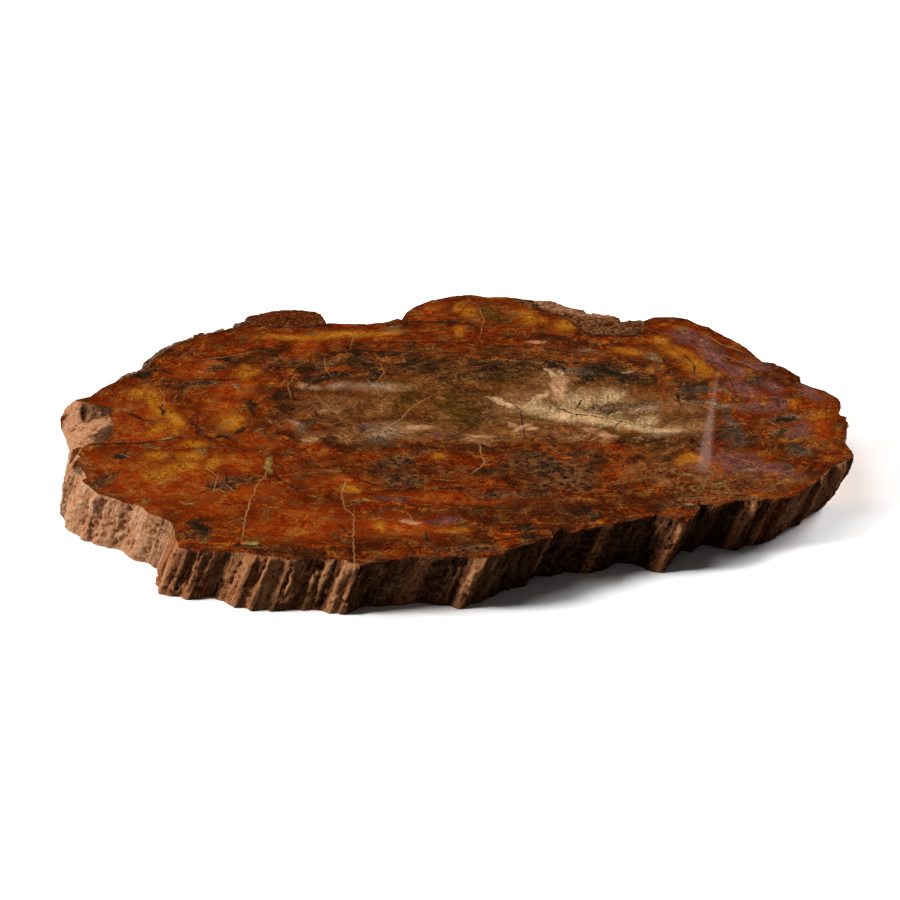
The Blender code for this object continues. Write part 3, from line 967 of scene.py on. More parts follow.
# Dark brown veils of the stone. Where they darken the front and right of the face, away from the light at
# the left, they are painted shade.
VEILS_AND_PAINTED_SHADE = {
    "patches": (
        (10, -165, 30, 12, 0), (60, -112, 100, 34, 5), (150, -96, 60, 22, 20), (-20, -158, 60, 22, 0),
        (-150, 110, 10, 50, 0), (120, 242, 50, 10, -12), (-180, 208, 40, 16, 35), (-262, 150, 18, 22, 40),
        (300, -10, 30, 18, 40), (300, 165, 26, 36, 25), (-110, -182, 60, 7, 0), (-285, -20, 12, 16, 60),
        (-15, 290, 60, 8, 0), (-10, 6, 150, 10, -6), (-70, -52, 40, 8, -30), (94, -52, 46, 26, -20),
        (20, -120, 90, 16, 0), (162, 262, 40, 12, 0), (76, -96, 60, 12, 8), (80, -40, 56, 34, -10),
        (-46, -40, 40, 26, 10), (270, 24, 24, 30, 60), (196, 16, 40, 14, -8),
    ),
    "ramp": (
        (0.0, (0.012, 0.005, 0.002)), (0.4, (0.05, 0.014, 0.003)), (0.8, (0.1, 0.026, 0.005)),
        (1.0, (0.17, 0.045, 0.009)),
    ),
    "softness": 0.4, "strength": 0.75, "torn": 1.5,
}
FLAMES = {
    "patches": (
        (-208, 88, 20, 16, 70), (-272, 28, 44, 14, 10), (-222, -64, 34, 14, 0), (-182, -22, 22, 16, 0),
        (-268, 66, 30, 12, 80), (-140, 225, 12, 20, 10), (-300, 60, 22, 10, 80), (-175, -92, 34, 16, 30),
        (-125, -135, 40, 24, 10), (0, -92, 50, 8, 0), (-240, 172, 30, 16, 30), (325, 40, 14, 22, 0),
        (-20, 318, 14, 30, 0), (-104, 172, 12, 8, 0), (-246, -56, 60, 34, -25), (-40, -140, 40, 20, 0),
        (-290, -30, 14, 26, 50), (-86, -62, 30, 10, 0), (-172, 20, 16, 12, -30), (-284, 66, 26, 40, 30),
        (-252, -110, 20, 12, -40), (-200, 130, 16, 30, 0),
    ),
    "ramp": (
        (0.0, ("red_jasper", 0.8)), (0.4, (0.25, 0.039, 0.003)), (0.75, (0.38, 0.076, 0.007)),
        (1.0, (0.5, 0.15, 0.016)),
    ),
    "softness": 0.4, "strength": 0.9, "torn": 1.5,
}
OCHRES = {
    "patches": (
        (-268, 100, 40, 9, 108), (-287, 118, 11, 10, 0), (-248, 62, 22, 8, 100), (-197, 56, 20, 11, 100),
        (-221, 12, 12, 8, 0), (-254, -12, 13, 9, 10), (-222, -14, 14, 10, 30), (-203, -26, 16, 6, 70),
        (-247, -48, 15, 12, -20), (-230, -36, 18, 9, 20), (-190, 166, 13, 9, 90), (-150, 252, 34, 9, -4),
        (-104, 258, 36, 11, 3), (-66, 262, 16, 8, 0), (22, 318, 16, 9, 80), (10, 332, 12, 6, 60),
        (72, 306, 20, 12, 100), (112, 282, 15, 11, 80), (12, 266, 12, 7, 80), (206, 246, 12, 8, 120),
        (219, 214, 22, 12, 125), (234, 184, 21, 12, 100), (242, 162, 16, 9, 0), (176, 217, 17, 8, -25),
        (307, 98, 10, 6, 0), (331, 74, 14, 11, 50), (204, -18, 9, 7, 70), (-10, -15, 7, 6, 90),
        (-60, -142, 12, 6, 95), (50, 357, 16, 3, 0), (3, -147, 12, 5, 0), (-84, -76, 12, 4, 0),
        (-258, 40, 14, 6, 70), (90, 296, 9, 6, 90), (300, 18, 12, 6, 0),
    ),
    "ramp": (
        (0.0, (0.15, 0.028, 0.002)), (0.25, (0.29, 0.07, 0.004)), (0.5, ("ochre", 1.08)),
        (0.75, (0.53, 0.2, 0.014)), (1.0, (0.72, 0.36, 0.05)),
    ),
    "softness": 0.24, "strength": 0.92, "torn": 1.9,
}
PURPLES = {
    "patches": (
        (231, 258, 19, 12, 110), (248, 240, 16, 9, 100), (249, 215, 22, 11, 110), (254, 194, 18, 10, 110),
        (268, 168, 18, 11, 90), (292, 92, 16, 12, 60), (274, 92, 14, 10, 40), (270, 128, 20, 12, 110),
        (248, -26, 28, 20, -25), (272, -38, 22, 12, -30), (330, 120, 18, 8, 100), (-4, -130, 10, 4, 0),
        (324, 75, 5, 4, 0), (-8, 30, 8, 5, 0), (-72, 48, 8, 5, 0), (177, 63, 6, 8, 60),
        (290, 186, 18, 8, 110), (310, 36, 20, 10, 60), (300, 130, 12, 8, 90),
    ),
    "ramp": (
        (0.1, ("purple", 0.45)), (0.5, ("purple", 1.1)), (0.75, ("purple", 1.7)), (1.0, (0.3, 0.16, 0.125)),
    ),
    "softness": 0.35, "strength": 0.95, "torn": 1.4,
}
KHAKIS = {
    "patches": (
        (-155, -26, 13, 4, 95), (-162, -170, 7, 5, 0), (194, 202, 9, 4, 120), (-245, 22, 8, 2.5, 20),
        (-217, -100, 4, 2.5, 0),
    ),
    "ramp": ((0.0, (0.12, 0.07, 0.012)), (0.5, (0.28, 0.18, 0.045)), (1.0, (0.42, 0.29, 0.1))),
    "softness": 0.3, "strength": 0.9, "torn": 0.7,
}
SLATES = {
    "patches": (
        (288, 147, 9, 8, 30), (301, 62, 12, 8, 10), (303, -5, 9, 9, 30), (286, -36, 10, 4, 100),
        (291, 36, 6, 5, 0), (250, 52, 40, 6, 92), (62, 312, 7, 4, 0), (-42, -97, 8, 4, 10),
        (-57, -92, 6, 3, 0), (120, 170, 22, 8, -20), (232, 128, 20, 7, 0),
    ),
    "ramp": ((0.1, (0.04, 0.025, 0.014)), (0.5, (0.1, 0.065, 0.038)), (1.0, (0.24, 0.17, 0.115))),
    "softness": 0.6, "strength": 0.75, "torn": 1.3,
}
OLIVES = {
    "patches": (
        (4, 86, 20, 32, 0), (14, 58, 24, 10, -10), (146, 32, 22, 8, -28), (42, 320, 10, 28, 5),
        (-40, 108, 8, 22, -20), (-34, -14, 6, 5, 0), (165, 150, 24, 12, -10), (84, 60, 30, 5, -30),
        (-22, 222, 18, 6, 0),
    ),
    "ramp": ((0.1, (0.04, 0.017, 0.003)), (0.5, (0.095, 0.036, 0.005)), (1.0, (0.18, 0.09, 0.02))),
    "softness": 0.5, "strength": 0.85,
}
BONES = {
    "patches": (
        (-138, 138, 6, 6, 20), (-124, 133, 9, 5, 0), (-102, 136, 10, 8, 20), (-70, 132, 24, 8, 0),
        (-57, 34, 16, 14, 30), (-138, 52, 16, 4, 130), (166, 170, 12, 3, 20), (308, 67, 7, 5, 0),
        (255, -41, 4, 4, 0), (244, 96, 6, 20, 80), (134, 222, 10, 3, 0), (194, 202, 11, 5, 120),
        (176, 88, 14, 10, 20), (-196, 138, 3, 6, 0), (190, 34, 18, 4, 5),
    ),
    "ramp": (
        (0.0, (0.06, 0.032, 0.014)), (0.4, (0.22, 0.12, 0.06)), (0.7, (0.46, 0.31, 0.19)),
        (1.0, (0.8, 0.62, 0.44)),
    ),
    "softness": 0.5, "strength": 0.8, "torn": 2.0,
}
CREAMS = {
    "patches": (
        (86, 84, 20, 11, -32), (108, 72, 26, 16, -32), (132, 62, 26, 13, -28), (158, 52, 22, 9, -20),
        (184, 42, 20, 5, -10), (52, 98, 22, 4, -30), (114, 96, 26, 15, 62), (138, 98, 30, 14, 62),
        (154, 84, 20, 9, 66), (102, 126, 24, 8, 78), (108, 154, 16, 3, 95), (96, 166, 14, 3, 118),
        (79, 104, 18, 5, 62), (176, 60, 14, 8, 40),
    ),
    "ramp": (
        (0.0, (0.14, 0.075, 0.02)), (0.3, ("cream", 0.5)), (0.6, ("cream", 1.0)), (1.0, ("cream", 1.25)),
    ),
    "softness": 0.5, "strength": 0.94, "torn": 1.3,
}
PEACHES = {
    "patches": (
        (101, 128, 22, 8, 76), (63, 44, 10, 4, 40), (52, 48, 6, 3, -50), (71, 41, 6, 4, 0),
        (137, 28, 8, 5, 0), (124, 38, 7, 4, 0), (-29, -130, 8, 4.5, -10), (-30, 44, 14, 5, 10),
        (26, 30, 12, 4, 0), (84, 240, 10, 3, 0),
    ),
    "ramp": ((0.0, (0.32, 0.125, 0.05)), (0.4, (0.5, 0.225, 0.1)), (1.0, (0.78, 0.46, 0.25))),
    "softness": 0.45, "strength": 0.85, "torn": 0.9,
}
BLACKS = {
    "patches": (
        (-222, 44, 12, 3, 120), (-214, 31, 9, 3, 150), (-186, 43, 10, 3, 60), (-199, 26, 7, 2.5, 15),
        (-200, -147, 13, 7, 140), (-206, -134, 12, 4, 30), (-125, 152, 26, 9, 4), (-110, 160, 16, 6, 10),
        (-72, 166, 17, 8, 95), (-42, 191, 12, 7, 20), (148, 166, 16, 12, -10), (168, 152, 12, 8, 30),
        (130, 152, 12, 9, 40), (97, -61, 10, 5, -10), (82, -38, 9, 7, 20), (-37, -17, 9, 6, 45),
        (-55, -27, 8, 4, 20), (292, 35, 7, 4, 20), (-256, 80, 10, 2, 110), (-179, 88, 18, 2.5, 95),
        (208, 187, 13, 2, 110), (-213, 198, 8, 4, 130), (-284, 166, 10, 5, 60), (-283, -12, 7, 5, 20),
        (-298, 34, 5, 3, 0), (112, -122, 14, 2.5, 105), (60, -142, 18, 4, 8), (62, -158, 16, 3, 12),
        (-16, -157, 9, 1.5, 92), (-60, 212, 20, 4, 5), (300, 60, 9, 5, 20), (196, -106, 9, 4, 20),
        (-168, -172, 14, 3, 0), (36, 188, 16, 6, 20), (100, 180, 14, 5, -30),
    ),
    "ramp": ((0.1, (0.01, 0.007, 0.004)), (0.5, (0.022, 0.013, 0.006)), (1.0, (0.06, 0.03, 0.012))),
    "softness": 0.4, "strength": 0.95, "torn": 1.1,
}
POROUS = {
    "patches": (
        (88, -36, 38, 24, -25), (112, -8, 15, 10, 10), (96, -62, 26, 12, 0), (-40, -56, 20, 14, 0),
        (-42, -20, 18, 12, 40), (-186, -64, 22, 12, 30), (150, 88, 26, 14, 0), (-292, -62, 20, 8, 50),
        (-242, 140, 20, 8, 20), (-222, 178, 16, 8, 40), (90, 335, 22, 8, -40), (-205, -158, 16, 6, 150),
        (20, -178, 30, 6, 5), (60, -84, 40, 5, 0),
    ),
    "ramp": (
        (0.5, (0.01, 0.007, 0.006)), (0.64, (0.028, 0.013, 0.007)), (0.76, (0.08, 0.028, 0.009)),
        (0.95, (0.2, 0.075, 0.02)),
    ),
    "softness": 0.4, "strength": 0.8,
}
PORE_SIZE = 4.6

# The brown dashes that fan out through the cream patch.
DASHED = ((132, 92, 42, 24, -24), (164, 64, 32, 18, -14), (96, 90, 24, 14, 40))

# Thin lines on the face: half width, then the points along it.
PALE_LINES = (
    (0.5, ((-155, -38), (-156, -52), (-161, -62), (-164, -90), (-166, -125), (-165, -162))),
    (0.45, ((-88, -60), (-90, -84), (-86, -108), (-78, -122), (-77, -160), (-74, -198))),
    (0.7, ((26, 10), (27, -12), (30, -25), (20, -42))), (0.45, ((-76, 148), (-68, 130), (-66, 116))),
    (0.5, ((-20, 110), (-34, 90), (-44, 64), (-60, 40))), (0.4, ((-146, 160), (-150, 136), (-146, 112))),
    (0.4, ((-120, 200), (-118, 176), (-112, 160))), (0.4, ((-66, 186), (-62, 166), (-68, 148))),
    (0.45, ((-210, -30), (-196, -52), (-197, -80))), (0.5, ((-187, -66), (-180, -78))),
    (0.7, ((-283, -8), (-275, -14))), (0.4, ((-35, -116), (-31, -128))),
    (0.5, ((94, 174), (100, 160), (103, 148))), (0.5, ((104, 176), (109, 160), (110, 146))),
    (0.55, ((252, 256), (266, 232), (282, 216))), (0.5, ((264, 206), (280, 188), (292, 172))),
    (0.45, ((262, 118), (284, 108), (300, 112))), (0.45, ((284, 60), (294, 46), (300, 40))),
    (0.45, ((240, -12), (258, -24), (262, -34), (255, -40))), (0.5, ((220, 96), (240, 88), (262, 96))),
    (0.4, ((-130, 74), (-122, 66))), (0.45, ((-118, 56), (-106, 52), (-96, 58))),
    (0.4, ((-240, 196), (-214, 204), (-190, 216))), (0.45, ((30, 260), (34, 300), (30, 326))),
    (0.4, ((-96, 232), (-94, 262))), (0.5, ((-245, -66), (-238, -56), (-228, -58))),
    (0.45, ((-260, 92), (-262, 112), (-268, 128))), (0.45, ((176, 80), (184, 64), (182, 50))),
)
DARK_LINES_AND_STEP_SHADOW = (
    (1.7, ((-318, 10), (-296, 13), (-278, 12), (-257, 17), (-234, 26))),
    (1.0, ((-92, -40), (-76, -57), (-57, -70), (-16, -75), (15, -71), (30, -60))),
    (1.2, ((70, -76), (96, -78), (122, -75), (157, -62))), (0.8, ((54, 102), (64, 82), (65, 44), (66, 24))),
    (1.1, ((98, 86), (112, 74), (126, 70), (138, 66))),
    (1.0, ((-207, -82), (-190, -66), (-176, -60), (-140, -46))),
    (0.9, ((-190, -44), (-186, -62), (-178, -76))), (0.9, ((-150, -50), (-138, -62), (-124, -80))),
    (0.9, ((17, -112), (34, -104), (60, -94))), (0.9, ((100, -112), (106, -126), (112, -138))),
    (0.8, ((-192, -100), (-178, -102), (-160, -96))), (0.9, ((-88, -140), (-78, -158))),
    (1.0, ((-208, -168), (-170, -174), (-130, -184), (-90, -186))),
    (1.8, ((-40, 292), (-14, 291), (12, 291))), (2.0, ((-204, 287), (-182, 278), (-150, 277), (-122, 283))),
    (1.8, ((-288, 167), (-274, 175), (-261, 163))), (1.7, ((-285, 144), (-271, 149), (-263, 147))),
    (1.6, ((-239, 151), (-224, 149), (-200, 150))), (1.8, ((-188, 225), (-174, 220), (-162, 200))),
    (2.2, ((-228, 200), (-216, 197), (-202, 188))), (1.5, ((-292, 78), (-274, 61), (-262, 58))),
    (1.2, ((-206, 281), (-226, 264), (-246, 252), (-262, 234))),
    (1.2, ((-271, 222), (-280, 196), (-284, 178), (-297, 158))),
    # A painted shadow: the dark line along the polish's edge where it steps down to the back ledge.
    (1.0, ((84, 348), (90, 324), (108, 310), (118, 298), (126, 278), (137, 258), (158, 255), (182, 256),
        (195, 272))), (1.6, ((-120, 212), (-84, 218), (-40, 214))),
    (1.5, ((-60, 238), (-20, 240), (24, 236))), (1.5, ((40, 232), (84, 226), (120, 212))),
    (1.4, ((110, 190), (140, 184), (176, 190))), (0.9, ((-158, 128), (-152, 96), (-158, 60))),
    (0.9, ((226, 204), (232, 186), (230, 164))), (0.8, ((244, 186), (262, 150), (262, 110))),
    (0.9, ((20, -170), (50, -160), (84, -138))), (0.8, ((-36, 206), (0, 214), (40, 206), (80, 214))),
    (0.9, ((190, -90), (216, -84), (250, -86))), (0.8, ((116, 92), (122, 108))),
    (0.8, ((140, 68), (148, 84))), (0.7, ((146, 46), (152, 58))),
)

# Colours of the thin marks.
DASH_BROWN = (0.13, 0.072, 0.018)
PORE_WALL = (0.20, 0.095, 0.04)
CRACK_BLACK = (0.016, 0.009, 0.006)
VEIN_PALE = (0.46, 0.23, 0.09)
STRAND_TAN = (0.42, 0.19, 0.07)
WISP_PALE, WISP_DARK = (0.46, 0.20, 0.07), (0.035, 0.014, 0.006)
REDDER, GREYER = (1.09, 0.78, 0.70), (0.96, 1.13, 1.17)  # factors of the red, from place to place


class StonePaint:
    """Paints the stone's own colours in a node tree, each layer over the colour so far."""

    def __init__(self, tree, place, stone, groups):
        self.tree, self.place, self.stone, self.groups = tree, place, stone, groups
        bent = vector_node(tree, "ADD", place, self.wander(45.0, 22.0))
        self.bent = vector_node(tree, "ADD", bent, self.wander(9.0, 7.0))
        self.wavy = vector_node(tree, "ADD", place, self.wander(7.0, 3.5))
        cloud = self.noise(self.bent, 26.0)
        self.blotch = self.noise(self.bent, 8.0, rough=0.55, swirl=1.6)
        self.fray = self.noise(self.wavy, 2.8, swirl=0.8)
        self.grain = self.noise(place, 1.5, detail=2.0)
        rings = self.streaks(self.bent, 4.0, 5.0)
        self.strands = self.streaks(self.wavy, 1.6, 9.0)
        ragged = weighted(tree, (cloud, 1.1), (self.blotch, 1.4), (self.fray, 0.8), (rings, 0.8))
        self.ragged = math_node(tree, "ADD", ragged, -2.05)
        shares = (cloud, 0.27), (rings, 0.23), (self.blotch, 0.32), (self.fray, 0.22), (self.strands, 0.06)
        self.tone = ranged(tree, weighted(tree, *shares), 0.435, 0.675)
        turned = {"Vector": self.wavy, "Rotation": (0, 0, math.radians(20)), "Scale": (1, 0.14, 1)}
        self.fan = self.noise(put(tree, "ShaderNodeMapping", turned).outputs[0], 3.6)

    def wander(self, width, reach):
        """A wandering sideways shift of the place."""
        shift = noise_node(self.tree, self.place, 1 / width, 2.0, 0.6)["Color"]
        shift = vector_node(self.tree, "SUBTRACT", shift, (0.5, 0.5, 0.5))
        return vector_node(self.tree, "MULTIPLY", shift, (reach, reach, 0))

    def noise(self, place, width, detail=3.0, rough=0.6, swirl=0.0):
        return noise_node(self.tree, place, 1 / width, detail, rough, swirl=swirl)["Fac"]

    def streaks(self, place, across, turns):
        feeds = {"Place": place, "Across": across, "Turns": turns, "Detail": 2.0, "Rough": 0.6}
        return use(self.tree, self.groups["streaks"], **feeds)["Value"]

    def cracks(self, place, cell, width):
        return use(self.tree, self.groups["cracks"], Place=place, Cell=cell, Width=width)["Mask"]

    def contours(self, value, inner, outer):
        """Thin lines where a noise is near its middle: 1 up to the inner distance, 0 past the outer."""
        away = math_node(self.tree, "ABSOLUTE", math_node(self.tree, "SUBTRACT", value, 0.5))
        return ranged(self.tree, away, inner, outer, 1.0, 0.0)

    def patches(self, place, ragged, spots, softness):
        return patches(self.tree, self.groups["patch"], place, ragged, spots, softness)

    def over(self, mask, colour, blend="MIX"):
        self.colour = mixed(self.tree, mask, self.colour, colour, blend)

    def mineral(self, kind, shades=None):
        """Paints one mineral, shaded by the tone or by another value, and gives its patches' mask."""
        ragged = times(self.tree, self.ragged, kind.get("torn", 1.0))
        mask = self.patches(self.bent, ragged, kind["patches"], kind["softness"])
        mask = times(self.tree, mask, kind["strength"])
        self.over(mask, ramp(self.tree, self.stone, shades or self.tone, kind["ramp"]))
        return mask

    def ground(self):
        """Red and brown jasper, and the broad fields of the core, the browns and the reds."""
        tree, red, ochre = self.tree, Vector(self.stone.red_jasper), Vector(self.stone.ochre)
        reds = [(0.0, red * 0.42), (0.25, red * 0.72), (0.5, red), (0.75, red * 1.6)]
        reds.append((1.0, red.lerp(ochre, 0.5) * 1.5))
        self.colour = ramp(tree, self.stone, self.tone, reds)
        browns = ramp(tree, self.stone, self.tone, BROWN_JASPER)
        self.over(ranged(tree, self.noise(self.bent, 17.0), 0.52, 0.66), browns)
        core, *_ = [self.mineral(kind) for kind in (CORE, RUSSETS, FAWNS, DUSKS, SANDS, VEILS_AND_PAINTED_SHADE, FLAMES)]
        self.veiled = self.noise(self.bent, 13.0)
        tint = mixed(tree, ranged(tree, self.veiled, 0.42, 0.58), REDDER, GREYER)
        self.over(math_node(tree, "SUBTRACT", 1.0, core), tint, "MULTIPLY")

    def minerals(self):
        """The smaller, brighter patches, and the cream patch with its dashes. Gives the black's mask."""
        tree = self.tree
        for kind in (OCHRES, PURPLES, KHAKIS, SLATES, OLIVES, BONES):
            self.mineral(kind)
        self.mineral(CREAMS, ranged(tree, weighted(tree, (self.fan, 0.6), (self.tone, 0.25)), 0.20, 0.53))
        self.mineral(PEACHES)
        cells = self.cracks(self.wavy, 6.5, 0.24)
        dashes = math_node(tree, "MAXIMUM", ranged(tree, self.fan, 0.57, 0.63), cells)
        dashes = times(tree, dashes, self.patches(self.bent, self.ragged, DASHED, 0.5))
        self.over(times(tree, dashes, 0.7), DASH_BROWN)
        return self.mineral(BLACKS)

    def pores(self):
        """The porous parts: dark cells, each of its own shade, with paler walls."""
        tree = self.tree
        mask = self.patches(self.bent, self.ragged, POROUS["patches"], POROUS["softness"])
        feeds = {"Vector": self.wavy, "Scale": 1 / PORE_SIZE}
        cells = put(tree, "ShaderNodeTexVoronoi", feeds, voronoi_dimensions="2D").outputs["Color"]
        shade = put(tree, "ShaderNodeSeparateColor", {0: cells}).outputs[0]
        pores = ramp(tree, self.stone, weighted(tree, (self.fray, 0.7), (shade, 0.65)), POROUS["ramp"])
        walls = self.cracks(self.wavy, PORE_SIZE, 0.13)
        pores = mixed(tree, times(tree, walls, 0.45), pores, PORE_WALL)
        self.over(times(tree, mask, POROUS["strength"]), pores)

    def veins(self):
        """Dark lines and cracks, with a painted shadow along the back ledge's step, and pale veins and
        strands. Gives the mask of the dark ones.
        """
        tree = self.tree
        contours = self.contours(self.blotch, 0.005, 0.018)
        contours = times(tree, contours, ranged(tree, self.noise(self.place, 30.0), 0.50, 0.58))
        slight = times(tree, self.ragged, 0.8)
        dark_lines_and_step_shadow = self.patches(self.wavy, slight, strokes(DARK_LINES_AND_STEP_SHADOW), 0.4)
        net = self.cracks(self.bent, 15.0, 0.035)
        net = times(tree, net, ranged(tree, self.noise(self.place, 22.0), 0.50, 0.58))
        net = times(tree, math_node(tree, "MAXIMUM", net, contours), 0.75)
        dark = math_node(tree, "MAXIMUM", net, dark_lines_and_step_shadow)
        self.over(times(tree, dark, 0.9), CRACK_BLACK)
        pale_lines = self.patches(self.wavy, slight, strokes(PALE_LINES), 0.6)
        self.over(times(tree, pale_lines, 0.65), VEIN_PALE)
        self.over(ranged(tree, self.strands, 0.68, 0.76, 0.0, 0.45), STRAND_TAN)
        return dark

    def wisps(self):
        """The finest pale and dark lines, and a grain over the whole stone."""
        tree = self.tree
        wisps = self.contours(self.fray, 0.004, 0.016)
        self.over(times(tree, wisps, ranged(tree, self.veiled, 0.53, 0.60, 0.0, 0.55)), WISP_PALE)
        self.over(times(tree, wisps, ranged(tree, self.veiled, 0.40, 0.47, 0.6, 0.0)), WISP_DARK)
        grain = weighted(tree, (self.grain, 0.6), (self.fray, 0.2), (self.strands, 0.2))
        shade = ranged(tree, grain, 0.36, 0.64, 0.76, 1.26)
        grey = put(tree, "ShaderNodeCombineColor", {0: shade, 1: shade, 2: shade}).outputs[0]
        self.over(1.0, grey, "MULTIPLY")


def jasper_group(stone, groups):
    """The colours of the stone at a log place, and how much dark mineral is there."""
    tree, given, out = new_group(
        "jasper", {"Place": ("Vector", None)}, {"Colour": ("Color", None), "Dark": ("Float", None)},
    )
    paint = StonePaint(tree, given["Place"], stone, groups)
    paint.ground()
    black = paint.minerals()
    paint.pores()
    dark = paint.veins()
    paint.wisps()
    tree.links.new(paint.colour, out.inputs["Colour"])
    tree.links.new(math_node(tree, "MAXIMUM", dark, black), out.inputs["Dark"])
    return tree


# The colours of the rough side, over the dark rind. "patches" are by x and y of the rim.
RIND = (
    (0.0, ("bark_dark", 0.6)), (0.3, ("bark_dark", 1.6)), (0.55, (0.12, 0.046, 0.021)),
    (1.0, (0.34, 0.135, 0.058)),
)
BROWNS = {
    "patches": ((-38, -194, 44, 12, 0), (304, -64, 34, 12, 50), (40, -184, 16, 8, 0), (-96, -194, 16, 8, 0)),
    "ramp": (
        (0.0, (0.03, 0.012, 0.006)), (0.4, (0.16, 0.058, 0.026)), (0.7, (0.32, 0.12, 0.055)),
        (1.0, (0.6, 0.3, 0.16)),
    ),
    "softness": 0.5,
}
# Orange stone on the side, partly painted light: pale orange on the lit ridges, and on walls in shade to
# make them brighter.
ORANGES_AND_LIT_FACETS = {
    "patches": (
        (-216, -160, 7, 24, 10), (-196, -178, 7, 7, 0), (-160, -185, 12, 9, 0), (-130, -190, 20, 9, 0),
        (-77, -199, 8, 7, 0), (-210, -176, 4, 6, 0), (25, -191, 4.6, 9, 0), (189, -131, 4.8, 11, 0),
        (250, -94, 5, 7, 0), (272, -92, 4, 6, 0), (306, -62, 5, 5, 0), (335, -24, 8, 8, 0),
        (340, 60, 20, 60, 0), (-16, -190, 9, 9, 0), (84, -158, 5, 6, 0), (318, -44, 9, 9, 50),
        (-180, -181, 8, 8, 0), (-96, -193, 6, 7, 0), (128, -137, 4, 6, 0),
    ),
    "ramp": (
        (0.0, ("bark_dark", 1.0)), (0.2, (0.2, 0.066, 0.026)), (0.42, (0.5, 0.17, 0.064)),
        (1.0, (0.88, 0.43, 0.19)),
    ),
    "softness": 0.4,
}
PUMICES = {
    "patches": (
        (-268, -96, 56, 20, -42), (-312, -50, 20, 30, 30), (-340, 40, 24, 70, 5), (-345, 92, 16, 16, 0),
        (-322, -12, 12, 20, 0), (-316, 64, 12, 17, 0),
    ),
    "ramp": (
        (0.0, (0.05, 0.02, 0.009)), (0.2, ("bark_pale", 0.42)), (0.5, ("bark_pale", 1.0)),
        (1.0, (1.0, 0.62, 0.38)),
    ),
    "softness": 0.3,
}
RED_LEDGES = {
    "patches": (
        (-325, 6, 5, 16, 0), (-318, -24, 4, 12, -10), (-352, 84, 7, 16, 0), (-165, 308, 52, 26, 0),
        (-10, 352, 70, 20, 0), (-88, 290, 50, 12, 0), (250, 290, 60, 30, 130), (278, -90, 6, 8, 0),
    ),
    "ramp": (
        (0.0, (0.02, 0.006, 0.002)), (0.4, (0.1, 0.02, 0.005)), (0.7, (0.2, 0.045, 0.011)),
        (1.0, (0.34, 0.11, 0.03)),
    ),
    "softness": 0.3,
}
TAN_LEDGES = {
    "patches": ((150, 312, 70, 34, -20), (100, 350, 34, 24, -40)),
    "ramp": (
        (0.0, (0.02, 0.007, 0.002)), (0.35, (0.11, 0.034, 0.01)), (0.65, (0.24, 0.085, 0.03)),
        (1.0, (0.52, 0.27, 0.13)),
    ),
    "softness": 0.3,
}
PALE_LEDGES = {
    "patches": ((108, 346, 34, 12, -30), (150, 326, 20, 7, -10)),
    "ramp": (
        (0.0, (0.05, 0.018, 0.007)), (0.3, (0.22, 0.085, 0.036)), (0.6, (0.46, 0.2, 0.1)),
        (1.0, (0.8, 0.46, 0.27)),
    ),
    "softness": 0.5,
}
GREY_CRUSTS = {
    "patches": ((-264, 226, 92, 22, 56), (-316, 98, 14, 5, 10), (-311, -32, 6, 14, -20)),
    "ramp": (
        (0.0, (0.012, 0.007, 0.004)), (0.3, (0.09, 0.046, 0.022)), (0.6, (0.28, 0.15, 0.08)),
        (1.0, (0.6, 0.38, 0.23)),
    ),
    "softness": 0.3,
}
RIND_COLOURS = (BROWNS, ORANGES_AND_LIT_FACETS, PUMICES, RED_LEDGES, TAN_LEDGES, PALE_LEDGES, GREY_CRUSTS)


def rind_group(stone, groups):
    """The colours of the rough side, in fibres along the grain: dark, with other colours in places and
    painted shade in crevices.
    """
    tree, given, out = new_group(
        "rind",
        {"Place": ("Vector", None), "Depth": ("Float", 0.0), "Hollow": ("Float", 0.5)},
        {"Colour": ("Color", None), "Fibres": ("Float", None)},
    )
    split = put(tree, "ShaderNodeSeparateXYZ", {0: given["Place"]})

    def along_grain(width, length, detail, rough):
        feeds = {
            "X": math_node(tree, "DIVIDE", split.outputs["X"], width),
            "Y": math_node(tree, "DIVIDE", split.outputs["Y"], width),
            "Z": math_node(tree, "DIVIDE", given["Depth"], length),
        }
        where = put(tree, "ShaderNodeCombineXYZ", feeds).outputs[0]
        return noise_node(tree, where, 1.0, detail, rough, flat=False)["Fac"]

    fibres = along_grain(1.7, 26.0, 4.0, 0.65)
    bands = along_grain(6.5, 80.0, 3.0, 0.6)
    specks = along_grain(1.5, 2.3, 3.0, 0.75)
    # The cavity shading is painted shade: it darkens the tone in crevices, pits and between pebbles.
    tone = weighted(tree, (fibres, 0.50), (bands, 0.30), (specks, 0.95), (given["Hollow"], 0.55))
    tone = ranged(tree, tone, 0.82, 1.46)
    colour = ramp(tree, stone, tone, RIND)
    ragged = math_node(tree, "MULTIPLY_ADD", bands, 2.0, -1.0)
    for kind in RIND_COLOURS:
        mask = patches(tree, groups["patch"], given["Place"], ragged, kind["patches"], kind["softness"])
        colour = mixed(tree, mask, colour, ramp(tree, stone, tone, kind["ramp"]))
    tree.links.new(colour, out.inputs["Colour"])
    tree.links.new(math_node(tree, "MULTIPLY_ADD", specks, 1.4, fibres), out.inputs["Fibres"])
    return tree


# The first colour is painted shade along the polish's edge.
RIM_PAINTED_SHADE, FRESH_BREAK, SAW_DUST = (0.05, 0.018, 0.007), (0.34, 0.16, 0.085), (0.26, 0.15, 0.10)
POLISH_IOR = 1.54  # of quartz


def material(name):
    """A new material: its tree, its Principled shader and the object's own coordinates."""
    made = bpy.data.materials.new(name)
    made.use_nodes = True
    tree = made.node_tree
    return made, tree, tree.nodes["Principled BSDF"], put(tree, "ShaderNodeTexCoord").outputs["Object"]


